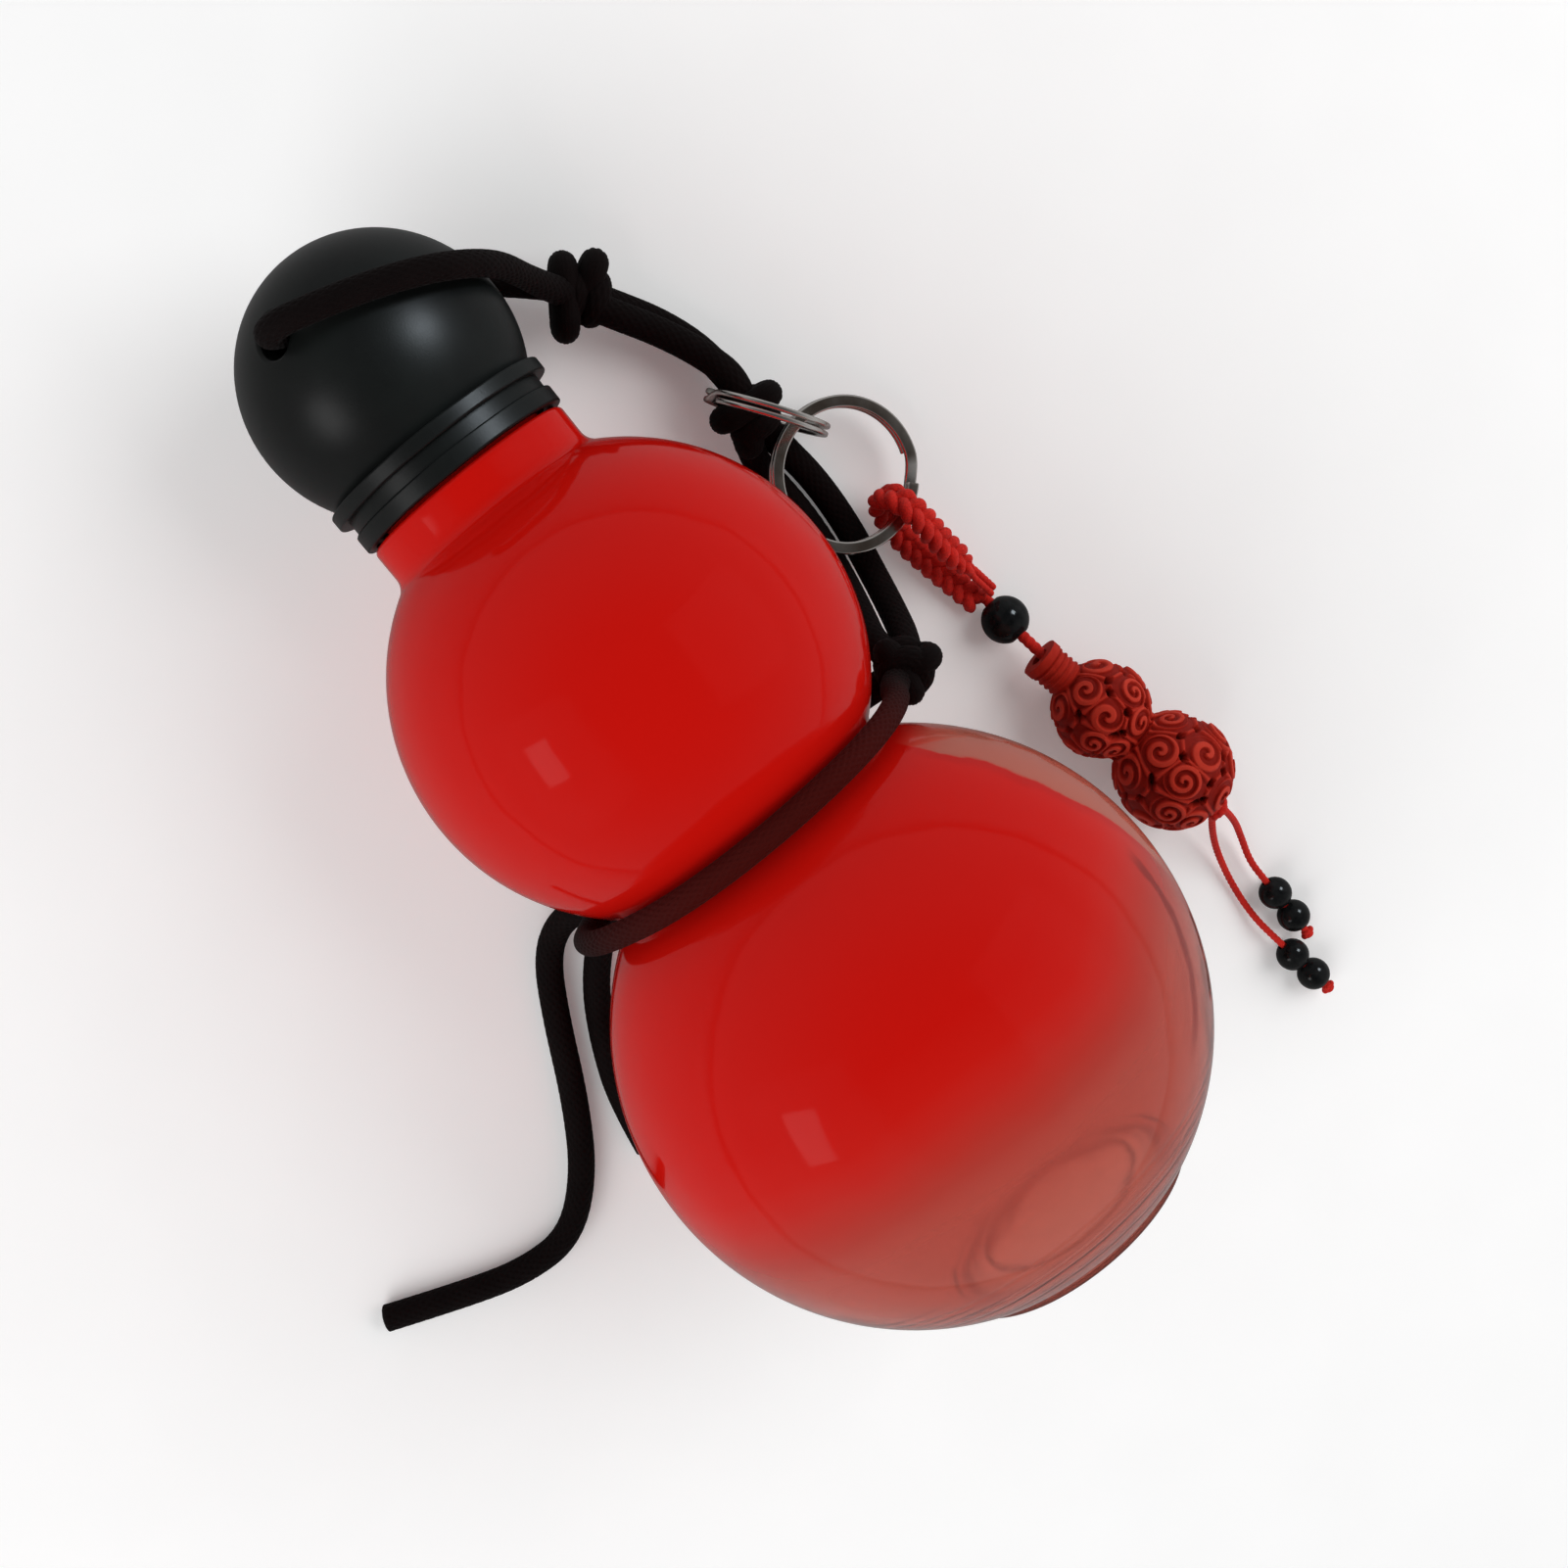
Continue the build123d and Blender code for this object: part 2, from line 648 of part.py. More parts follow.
for side, route in tails.items():
    cord(f"charm_tail_{side}", route, tail_diameter)
    run_start, run_end = Vector(route[-2]), Vector(route[-1])
    along = (run_end - run_start).normalized()
    first_place = run_start + (run_end - run_start) * first_bead_share[side]
    for step in (0, small_bead_spacing):
        bead_number += 1
        bead(
            f"small_bead_{bead_number}", first_place + along * step, along,
            small_bead_diameter, small_bead_flat, small_bead_bore,
        )
    with BuildPart(Plane(origin=run_end)) as stop_knot:
        Sphere(stop_knot_radius)
    save(stop_knot.part, f"charm_stop_knot_{side}")

with BuildPart(Plane(origin=charm_base + charm_direction * end_knot_radius)) as end_knot:
    Sphere(end_knot_radius)
save(end_knot.part, "charm_end_knot")

print(f"overall length along the axis {bottle_length:.1f}")
print(f"dip of the axis {degrees(dip):.3f} degrees, upper bulb centre {tuple(upper_centre)}")
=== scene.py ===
"""Looks of the gourd water bottle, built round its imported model.

All sizes are in metres, in the model's own frame: +Z up, +X along the bottle towards the cap.
"""

import json
from math import asin, atan2, cos, pi, radians, sin, sqrt, tau

import bmesh
import bpy
import numpy as np
from mathutils import Matrix, Vector

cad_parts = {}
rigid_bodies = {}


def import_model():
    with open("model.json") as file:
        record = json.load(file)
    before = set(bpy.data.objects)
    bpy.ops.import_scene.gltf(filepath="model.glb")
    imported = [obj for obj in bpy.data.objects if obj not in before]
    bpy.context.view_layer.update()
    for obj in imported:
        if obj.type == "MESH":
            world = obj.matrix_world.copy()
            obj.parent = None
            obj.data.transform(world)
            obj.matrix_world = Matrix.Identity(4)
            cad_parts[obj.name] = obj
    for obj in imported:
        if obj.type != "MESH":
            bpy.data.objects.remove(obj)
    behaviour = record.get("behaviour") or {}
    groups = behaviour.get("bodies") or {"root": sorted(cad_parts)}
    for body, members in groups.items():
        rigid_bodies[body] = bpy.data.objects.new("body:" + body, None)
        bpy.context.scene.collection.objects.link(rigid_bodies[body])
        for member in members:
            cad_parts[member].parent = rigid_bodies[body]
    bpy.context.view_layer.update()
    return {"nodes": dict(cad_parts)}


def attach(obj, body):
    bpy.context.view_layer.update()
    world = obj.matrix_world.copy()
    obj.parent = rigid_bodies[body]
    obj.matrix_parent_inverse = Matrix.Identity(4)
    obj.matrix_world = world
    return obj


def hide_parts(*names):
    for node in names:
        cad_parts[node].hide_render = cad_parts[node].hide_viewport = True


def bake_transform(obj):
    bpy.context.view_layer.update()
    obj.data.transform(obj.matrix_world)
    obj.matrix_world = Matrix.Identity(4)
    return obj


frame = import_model()
mm = 0.001

# Bottle, as in the CAD model
lower_radius = 44.0 * mm
upper_radius = 34.3 * mm
bulb_spacing = 64.6 * mm
waist_fillet = 1.8 * mm
collar_length = 6.2 * mm
collar_inset = 0.6 * mm
collar_fillet = 2.6 * mm
collar_edge = 0.8 * mm
finish_length = 14.6 * mm
finish_wall = 1.8 * mm
lip_fillet = 0.5 * mm
wall = 1.6 * mm
foot_radius = 20.8 * mm
foot_height = 1.03 * mm
foot_edge = 0.8 * mm
foot_land = 3.2 * mm
punt_depth = 3.5 * mm
punt_step_inset = 4.4 * mm
punt_step_depth = 0.7 * mm
base_wall = 2.2 * mm

# Cap, as in the CAD model
ball_radius = 20.0 * mm
ball_rise = 2.5 * mm
rim_gap = 0.4 * mm
skirt_inset = 2.8 * mm
skirt_wall = 0.8 * mm
ridge_inset = 1.8 * mm
ridge_start = 4.6 * mm
ridge_height = 2.1 * mm
groove_inset = 3.4 * mm
cup_wall = 1.2 * mm
cup_plate = 1.6 * mm
cup_recess = 0.6 * mm
cup_fit = 0.02 * mm
thread_room = 1.2 * mm
seal_thickness = 1.5 * mm
seal_gap = 0.2 * mm

# Screw thread, which only shows when the cap is off
thread_lead = 5.0 * mm
thread_height = 0.85 * mm
cup_thread_height = 0.7 * mm

# Cords and rings, as in the CAD model
cord_diameter = 4.5 * mm
thread_diameter = 1.9 * mm
tail_diameter = 1.2 * mm
small_ring_diameter = 20.0 * mm
small_ring_width = 1.5 * mm
key_ring_diameter = 25.0 * mm
key_ring_width = 2.0 * mm
ring_wire_thickness = 0.85 * mm
ring_turn_gap = 0.42 * mm
ring_jog_turn = radians(26.0)
ring_wire_corner = 0.34 * mm
ground_gap = 0.05 * mm

# Charm, as in the CAD model
large_bead_diameter = 8.0 * mm
charm_upper_radius = 8.4 * mm
charm_lower_radius = 10.2 * mm
charm_spacing = 16.6 * mm
charm_bore = 3.2 * mm
charm_neck_radius = 3.1 * mm
charm_lip_length = 1.5 * mm
charm_neck_length = 13.9 * mm
charm_base_distance = 8.7 * mm
charm_fillet = 1.2 * mm
small_bead_diameter = 5.8 * mm
end_knot_radius = 1.7 * mm

# What follows from those sizes, along the axis from the upper bulb's centre
ridge_radius = ball_radius - ridge_inset
skirt_radius = ball_radius - skirt_inset
cup_radius = ball_radius - groove_inset - skirt_wall
seat_radius = cup_radius - cup_wall
finish_radius = seat_radius - thread_room
mouth_radius = finish_radius - finish_wall
collar_radius = skirt_radius - collar_inset
collar_end = sqrt(upper_radius**2 - collar_radius**2) + collar_length
mouth_end = collar_end + finish_length
rim_place = collar_end + rim_gap
skirt_top = rim_place + ridge_start + ridge_height + ball_rise
ball_distance = skirt_top + sqrt(ball_radius**2 - ridge_radius**2)
cup_top = mouth_end + seal_gap + seal_thickness + cup_plate
foot_distance = sqrt(lower_radius**2 - foot_radius**2) + foot_height
punt_radius = foot_radius - foot_land
punt_step_radius = punt_radius - punt_step_inset

# The bottle's axis, from the lower bulb to the cap
dip = asin((lower_radius - upper_radius) / bulb_spacing)
axis = Vector((cos(dip), 0, -sin(dip)))
axis_up = Vector((sin(dip), 0, cos(dip)))
back_reach = bulb_spacing * cos(dip) + lower_radius
front_reach = ball_distance * cos(dip) + ball_radius
upper_centre = Vector(((back_reach - front_reach) / 2, 0, upper_radius))
lower_centre = upper_centre - axis * bulb_spacing

# The camera stands where the photograph was taken from
camera_place = Vector((68.756, 5.448, 294.096)) * mm
camera_right = Vector((-0.59700, -0.77187, 0.21865))
camera_down = Vector((-0.74911, 0.63390, 0.19238))
photo_pixels = 1601
focal_pixels = 1883.0
sensor_width = 36.0


def route(*points):
    """Points written in millimetres."""
    return [Vector(point) * mm for point in points]


def smooth_line(points):
    """Points along the NURBS spline that has the route's points as control points."""
    curve = bpy.data.curves.new("route", "CURVE")
    curve.dimensions = "3D"
    spline = curve.splines.new("NURBS")
    spline.points.add(len(points) - 1)
    for control, point in zip(spline.points, points):
        control.co = (*point, 1)
    spline.order_u = 3
    spline.use_endpoint_u = True
    spline.resolution_u = 24
    holder = bpy.data.objects.new("route", curve)
    bpy.context.scene.collection.objects.link(holder)
    bpy.context.view_layer.update()
    mesh = bpy.data.meshes.new_from_object(holder)
    line = [v.co.copy() for v in mesh.vertices]
    bpy.data.objects.remove(holder)
    bpy.data.meshes.remove(mesh)
    bpy.data.curves.remove(curve)
    return line


def evenly(line, step):
    """The line again, with points about a step apart, and how far along each one is."""
    points = np.array([tuple(p) for p in line])
    runs = np.linalg.norm(np.diff(points, axis=0), axis=1)
    points = points[np.concatenate([[True], runs > 1e-7])]
    along = np.concatenate([[0], np.cumsum(np.linalg.norm(np.diff(points, axis=0), axis=1))])
    places = np.linspace(0, along[-1], max(3, int(along[-1] / step) + 1))
    return np.stack([np.interp(places, along, points[:, k]) for k in range(3)], 1), places


def unit(vectors):
    """Each row at length one."""
    return vectors / np.linalg.norm(vectors, axis=1)[:, None]


def turning_frames(points):
    """Directions along and across a line, which turn as little as they can along it."""
    tangents = unit(np.gradient(points, axis=0))
    helper = np.array([0, 0, 1.0]) if abs(tangents[0][2]) < 0.9 else np.array([1.0, 0, 0])
    side = np.cross(tangents[0], helper)
    sides = [side / np.linalg.norm(side)]
    for tangent in tangents[1:]:
        side = sides[-1] - tangent * (sides[-1] @ tangent)
        sides.append(side / np.linalg.norm(side))
    sides = np.array(sides)
    return tangents, sides, np.cross(tangents, sides)


# Mesh building: every helper returns (vertices, faces, uvs), so that several can be joined in one piece

def grid(rows, places, closed=False):
    """A surface over rows of points, where each row is a closed ring. UVs: once round, and millimetres."""
    count, columns = rows.shape[:2]
    faces, uvs = [], []
    for r in range(count if closed else count - 1):
        below, above = r * columns, (r + 1) % count * columns
        low, high = places[r] / mm, places[r + 1] / mm
        for c in range(columns):
            d = (c + 1) % columns
            faces.append((below + c, below + d, above + d, above + c))
            left, right = c / columns, (c + 1) / columns
            uvs += [(left, low), (right, low), (right, high), (left, high)]
    return rows.reshape(-1, 3), faces, uvs


def joined(parts):
    """Several surfaces as one."""
    vertices, faces, uvs, count = [], [], [], 0
    for part_vertices, part_faces, part_uvs in parts:
        vertices.append(part_vertices)
        faces += [tuple(index + count for index in face) for face in part_faces]
        uvs += part_uvs
        count += len(part_vertices)
    return np.concatenate(vertices), faces, uvs


def piece(name, surface, material, body, replaces=(), values=None):
    """A finished piece: its mesh, with its material, riding on its body in place of its nodes.

    In place of one body it can be given two, with the places where it leaves one and reaches the other; it then rides
    on no body and stays where it is.
    """
    vertices, faces, uvs = surface
    mesh = bpy.data.meshes.new(name)
    mesh.from_pydata(vertices.tolist(), [], faces)
    mesh.uv_layers.new(name="along").data.foreach_set("uv", np.asarray(uvs, np.float32).ravel())
    if values is not None:
        for key, numbers in values.items():
            mesh.attributes.new(key, "FLOAT", "POINT").data.foreach_set("value", numbers.astype(np.float32))
    work = bmesh.new()
    work.from_mesh(mesh)
    bmesh.ops.remove_doubles(work, verts=work.verts, dist=1e-7)
    bmesh.ops.recalc_face_normals(work, faces=work.faces)
    work.to_mesh(mesh)
    work.free()
    mesh.polygons.foreach_set("use_smooth", [True] * len(mesh.polygons))
    mesh.set_sharp_from_angle(angle=sharp_angle)
    mesh.materials.append(material)
    made = bpy.data.objects.new(name, mesh)
    bpy.context.scene.collection.objects.link(made)
    if isinstance(body, str):
        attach(made, body)
    else:
        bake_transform(made)
    if replaces:
        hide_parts(*replaces)
    return made


def rings_round(points, across, over, radius, sides, places, relief):
    """Rings of points round a line."""
    angles = np.arange(sides) * tau / sides
    rim = across[:, None] * np.cos(angles)[None, :, None] + over[:, None] * np.sin(angles)[None, :, None]
    size = np.zeros((len(points), sides)) + np.asarray(radius, float).reshape(-1, 1)
    if relief is not None:
        size = size + relief(places[:, None], angles[None, :])
    return rim, size


def tube(line, radius, sides, step, relief=None, bulge=0.3):
    """A round cord along a line, with drawn-in ends."""
    points, places = evenly(line, step)
    tangents, across, over = turning_frames(points)
    if callable(radius):
        radius = radius(places / places[-1])
    rim, size = rings_round(points, across, over, radius, sides, places, relief)
    rows = list(points[:, None] + rim * size[:, :, None])
    for end, way in ((0, -1), (-1, 1)):
        for share in end_shares:
            ring = points[end] + way * tangents[end] * bulge * size[end].mean() * share
            ring = ring + rim[end] * (size[end] * sqrt(1 - share**2))[:, None]
            rows = [ring] + rows if end == 0 else rows + [ring]
    margin = bulge * np.mean(size[0]) * np.array(end_shares)
    places = np.concatenate([-margin[::-1], places, places[-1] + margin])
    return grid(np.array(rows), places)


def loop(points, outward, radius, sides, relief=None, repeat=None):
    """A closed ring of cord through points. Outward directions set where its pattern starts."""
    tangents = unit(np.roll(points, -1, 0) - np.roll(points, 1, 0))
    over = unit(outward - tangents * np.sum(outward * tangents, 1)[:, None])
    runs = np.linalg.norm(np.roll(points, -1, 0) - points, axis=1)
    places = np.concatenate([[0], np.cumsum(runs)])
    if repeat:
        places = places / places[-1] * max(1, round(places[-1] / repeat)) * repeat
    rim, size = rings_round(points, np.cross(tangents, over), over, radius, sides, places[:-1], relief)
    return grid(points[:, None] + rim * size[:, :, None], places, closed=True)


def turned(profile, origin, along, up, steps, relief=None, closed=False):
    """A profile of (along, radius) points turned about an axis."""
    profile = np.array(profile)
    side = np.array(along.cross(up).normalized())
    along, up, origin = np.array(along), np.array(up), np.array(origin)
    angles = np.arange(steps) * tau / steps
    radius = np.repeat(profile[:, 1:2], steps, 1)
    if relief is not None:
        radius = radius + relief(profile[:, 0:1], angles[None, :], radius)
    rim = up * np.cos(angles)[:, None] + side * np.sin(angles)[:, None]
    rows = origin + along * profile[:, 0][:, None, None] + rim[None] * radius[:, :, None]
    runs = np.linalg.norm(np.diff(profile, axis=0, append=profile[:1]), axis=1)
    return grid(rows, np.concatenate([[0], np.cumsum(runs)]), closed)


def arc(centre, radius, start, end, count):
    """Points on an arc from one angle to another, in degrees from the axis."""
    angles = [radians(start + (end - start) * k / count) for k in range(count + 1)]
    return [(centre[0] + radius * cos(a), centre[1] + radius * sin(a)) for a in angles]


def straight(start, end, count):
    """Points from one place to another."""
    return [
        (start[0] + (end[0] - start[0]) * k / count, start[1] + (end[1] - start[1]) * k / count)
        for k in range(count + 1)
    ]


def angle_of(point, centre):
    """The angle of a point about a centre, in degrees."""
    return atan2(point[1] - centre[1], point[0] - centre[0]) / pi * 180


def crossing(first, first_radius, second, second_radius):
    """Where two circles cross above the axis, when both centres lie on it."""
    gap = second[0] - first[0]
    x = (gap**2 + first_radius**2 - second_radius**2) / (2 * gap)
    return first[0] + x, sqrt(first_radius**2 - x**2)


sharp_angle = radians(40)
socket_names = {"specular": "Specular IOR Level", "ior": "IOR"}
end_shares = (0.35, 0.7, 0.92, 1.0)


# Material building

def new_material(name):
    """A node material with its tree and its Principled shader."""
    material = bpy.data.materials.new(name)
    material.use_nodes = True
    return material, material.node_tree, material.node_tree.nodes["Principled BSDF"]


def connect(tree, value, socket):
    """Link a socket's value, or set it."""
    if isinstance(value, bpy.types.NodeSocket):
        tree.links.new(value, socket)
    else:
        socket.default_value = value


def add_node(tree, kind, inputs=(), **settings):
    """A node with its settings, and its inputs set or linked in order or by name."""
    node = tree.nodes.new(kind)
    for key, value in settings.items():
        setattr(node, key, value)
    for key, value in (inputs.items() if isinstance(inputs, dict) else enumerate(inputs)):
        connect(tree, value, node.inputs[key])
    return node


def calculate(tree, operation, *values):
    """A Math node's result."""
    return add_node(tree, "ShaderNodeMath", values, operation=operation).outputs[0]


def times(tree, first, second):
    """A product."""
    return calculate(tree, "MULTIPLY", first, second)


def plus(tree, first, second):
    """A sum."""
    return calculate(tree, "ADD", first, second)


def scaled(tree, value, factor, shift):
    """A value times a factor, plus a shift."""
    return calculate(tree, "MULTIPLY_ADD", value, factor, shift)


def distance_between(tree, place, centre):
    """How far a place is from a centre."""
    return add_node(tree, "ShaderNodeVectorMath", (place, centre), operation="DISTANCE").outputs["Value"]


def dress(tree, shader, **values):
    """Set or link the shader's sockets: base_color is Base Color, and so on."""
    for key, value in values.items():
        connect(tree, value, shader.inputs[socket_names.get(key) or key.replace("_", " ").title()])


def smooth_step(tree, value, low, high):
    """0 below low, 1 above high, and smooth between them."""
    inputs = {"Value": value, "From Min": low, "From Max": high}
    return add_node(tree, "ShaderNodeMapRange", inputs, interpolation_type="SMOOTHSTEP").outputs["Result"]


def colour_ramp(tree, factor, *stops):
    """A colour over (place, colour) stops."""
    node = add_node(tree, "ShaderNodeValToRGB", {"Fac": factor})
    elements = node.color_ramp.elements
    while len(elements) < len(stops):
        elements.new(0.5)
    for element, (place, colour) in zip(elements, stops):
        element.position = place
        element.color = (*colour, 1)
    return node.outputs["Color"]


def mixed(tree, factor, first, second):
    """A mix of two colours."""
    node = tree.nodes.new("ShaderNodeMix")
    node.data_type = "RGBA"
    connect(tree, factor, node.inputs["Factor"])
    for value, socket in ((first, node.inputs[6]), (second, node.inputs[7])):
        connect(tree, value if isinstance(value, bpy.types.NodeSocket) else (*value, 1), socket)
    return node.outputs[2]


def bump(tree, shader, height, strength, distance):
    """Fine relief from a height."""
    inputs = {"Strength": strength, "Distance": distance, "Height": height}
    connect(tree, add_node(tree, "ShaderNodeBump", inputs).outputs["Normal"], shader.inputs["Normal"])


def place_of(tree):
    """The place on the object, in metres."""
    return add_node(tree, "ShaderNodeTexCoord").outputs["Object"]


def noise(tree, size, detail=4.0, roughness=0.5, vector=None):
    """Noise whose features are about one size across, in metres."""
    inputs = {"Vector": vector or place_of(tree), "Scale": 1 / size, "Detail": detail, "Roughness": roughness}
    return add_node(tree, "ShaderNodeTexNoise", inputs).outputs["Fac"]


def wander(tree, size, reach):
    """Noise centred on nothing, up to about half its reach each way."""
    return scaled(tree, noise(tree, size), reach, -reach / 2)


def distance_along(tree, origin, direction):
    """How far a place is along a direction from an origin, in metres."""
    away = add_node(tree, "ShaderNodeVectorMath", (place_of(tree), origin), operation="SUBTRACT").outputs[0]
    return add_node(tree, "ShaderNodeVectorMath", (away, direction), operation="DOT_PRODUCT").outputs["Value"]


# Materials

# The coat's colour along the axis, in millimetres from the lower bulb's centre
fade_stops = (
    (-36.0, (0.60, 0.150, 0.110)),
    (-29.0, (0.68, 0.175, 0.130)),
    (-22.0, (0.74, 0.205, 0.158)),
    (-17.0, (0.72, 0.175, 0.134)),
    (-12.0, (0.67, 0.125, 0.094)),
    (-8.0, (0.61, 0.066, 0.048)),
    (-5.0, (0.61, 0.040, 0.028)),
    (-1.0, (0.61, 0.020, 0.014)),
    (3.0, (0.60, 0.010, 0.006)),
    (9.0, (0.60, 0.0060, 0.0032)),
)
bare_plastic = (0.64, 0.20, 0.14)
coat_edge = (0.50, 0.0045, 0.0025)
coat_edge_share = 0.475
pale_side = Vector((0.25, -0.75, -0.6))
vein_share = 0.822
vein_way = Vector((-0.1774, 0.3924, -0.9021))
vein_red = (0.30, 0.016, 0.011)
# A pale colour painted on the inside of the clear part, as painted light that reaches it through the wall
painted_inside_light = (0.96, 0.55, 0.46)
punt_shade_red = (0.14, 0.012, 0.009)
# Dark rings painted on the punt, as painted shade at its edge, its step and its middle, with plain dark rings between:
# radius, half width and how dark
punt_shade_rings = (
    (punt_radius, 1.3 * mm, 0.6), (punt_radius - 2 * mm, 0.7 * mm, 0.4), (punt_step_radius, 0.8 * mm, 0.35),
    (8 * mm, 0.9 * mm, 0.3), (2.5 * mm, 2.5 * mm, 0.35),
)


def bottle_material():
    """Clear plastic whose red coat fades out towards the foot, with a run edge on one side."""
    material, tree, shader = new_material("bottle")
    along = distance_along(tree, lower_centre, axis)
    towards = distance_along(tree, lower_centre, pale_side)
    lean = times(tree, smooth_step(tree, towards, -10 * mm, 12 * mm), -6.5 * mm)
    soft_along = plus(tree, plus(tree, along, lean), wander(tree, 30 * mm, 6 * mm))
    low, high = fade_stops[0][0], fade_stops[-1][0]
    share = scaled(tree, soft_along, 1000 / (high - low), -low / (high - low))
    faded = colour_ramp(tree, share, *(((place - low) / (high - low), colour) for place, colour in fade_stops))
    clear = smooth_step(tree, soft_along, 4 * mm, -22 * mm)
    # The coat's run edge, on the side that the charm lies on
    side = plus(tree, towards, wander(tree, 11 * mm, 5 * mm))
    edge = lower_radius * coat_edge_share
    on_lower = smooth_step(tree, along, 36 * mm, 30 * mm)
    bare = times(tree, smooth_step(tree, side, edge, edge + 0.7 * mm), on_lower)
    near_edge = times(tree, smooth_step(tree, side, edge - 2.4 * mm, edge - 0.2 * mm), on_lower)
    near_edge = times(tree, near_edge, smooth_step(tree, along, -4 * mm, 10 * mm))
    faded = mixed(tree, times(tree, near_edge, 0.8), faded, coat_edge)
    faded = mixed(tree, times(tree, bare, 0.85), faded, bare_plastic)
    clear = calculate(tree, "MAXIMUM", clear, times(tree, bare, 0.35))
    # A thin red run down to the foot
    vein_at = plus(tree, distance_along(tree, lower_centre, vein_way), wander(tree, 9 * mm, 2.4 * mm))
    off_vein = calculate(tree, "ABSOLUTE", plus(tree, vein_at, vein_share * lower_radius))
    on_side = smooth_step(tree, distance_along(tree, lower_centre, -Vector((0, 1, 0))), 24 * mm, 30 * mm)
    low_end = times(tree, on_side, smooth_step(tree, along, 6 * mm, 2 * mm))
    vein = times(tree, smooth_step(tree, off_vein, 0.9 * mm, 0.3 * mm), low_end)
    faded = mixed(tree, times(tree, vein, 0.85), faded, vein_red)
    # Painted light: the inside of the clear part is painted pale, standing in for the light that reaches it through
    # the wall
    depth = distance_between(tree, place_of(tree), lower_centre)
    inside = smooth_step(tree, depth, lower_radius - 0.4 * wall, lower_radius - 0.7 * wall)
    inside = times(tree, inside, clear)
    faded = mixed(tree, times(tree, inside, 0.9), faded, painted_inside_light)
    from_axis = calculate(tree, "SQRT", calculate(
        tree, "SUBTRACT", times(tree, depth, depth), times(tree, along, along)
    ))
    at_foot = smooth_step(tree, along, 4 * mm - foot_distance, 1 * mm - foot_distance)
    # Painted shade: dark rings on the punt's edge, step and middle, and plain dark rings between
    for radius, width, strength in punt_shade_rings:
        off = calculate(tree, "ABSOLUTE", calculate(tree, "SUBTRACT", from_axis, radius))
        ring = times(tree, smooth_step(tree, off, width, 0.3 * width), at_foot)
        faded = mixed(tree, times(tree, ring, strength), faded, punt_shade_red)
    marks = noise(tree, 2.5 * mm, 5.0, 0.6)
    dress(tree, shader, base_color=faded, transmission_weight=scaled(tree, clear, 0.87, 0.03),
          roughness=scaled(tree, marks, 0.06, 0.05), ior=1.45, specular=0.22)
    # Slight waves of the blown wall, and moulding lines near the foot
    height = times(tree, noise(tree, 16 * mm, 2.0), 0.35 * mm)
    uneven = plus(tree, along, wander(tree, 20 * mm, 1.2 * mm))
    for place, width, depth in moulding_lines:
        off = calculate(tree, "ABSOLUTE", plus(tree, uneven, -place))
        line = smooth_step(tree, off, width, 0.0)
        height = plus(tree, height, times(tree, line, -depth))
    bump(tree, shader, height, 0.6, 1.0)
    return material


moulding_lines = (
    (-27.0 * mm, 0.8 * mm, 0.05 * mm),
    (-30.2 * mm, 0.5 * mm, 0.05 * mm),
    (-31.8 * mm, 0.6 * mm, 0.07 * mm),
    (-34.4 * mm, 0.5 * mm, 0.06 * mm),
)


def cap_material():
    """Matt black moulded plastic with a fine grain and faint rubbed patches."""
    material, tree, shader = new_material("cap")
    grain = noise(tree, 0.22 * mm, 3.0)
    cloud = noise(tree, 12 * mm, 4.0)
    colour = colour_ramp(tree, cloud, (0.3, (0.0030, 0.0032, 0.0032)), (0.7, (0.0052, 0.0062, 0.0058)))
    rough = scaled(tree, grain, 0.10, 0.28)
    dress(tree, shader, base_color=colour, roughness=scaled(tree, cloud, 0.08, rough), specular=0.2)
    bump(tree, shader, grain, 0.35, 0.03 * mm)
    return material


def yarn_material(name, dark, light, filaments, sheen, level, painted_reflection=None):
    """Yarn: fine filaments that run along it, with painted shade where they lie deep. A painted reflection tints it
    round a place.
    """
    material, tree, shader = new_material(name)
    uv = add_node(tree, "ShaderNodeUVMap", uv_map="along").outputs["UV"]
    stretched = add_node(tree, "ShaderNodeMapping", {"Vector": uv, "Scale": filaments}).outputs["Vector"]
    yarn = noise(tree, 1.0, 3.0, 0.6, stretched)
    wear = noise(tree, 6 * mm, 3.0)
    # Painted shade: the filament noise that sets the bump also darkens the colour where the yarn lies deep; the wear
    # noise is a tone change
    shade = scaled(tree, wear, 0.3, scaled(tree, yarn, 0.8, -0.05))
    colour = colour_ramp(tree, shade, (0.3, dark), (0.75, light))
    # Painted reflection: a tint round a place, standing in for coloured light reflected onto the cord
    if painted_reflection:
        place, reach, tint = painted_reflection
        away = distance_between(tree, place_of(tree), place)
        colour = mixed(tree, smooth_step(tree, away, reach, reach * 0.3), colour, tint)
    dress(tree, shader, base_color=colour, roughness=0.75, specular=level, sheen_weight=sheen, sheen_roughness=0.4)
    bump(tree, shader, yarn, 0.4, 0.05 * mm)
    return material


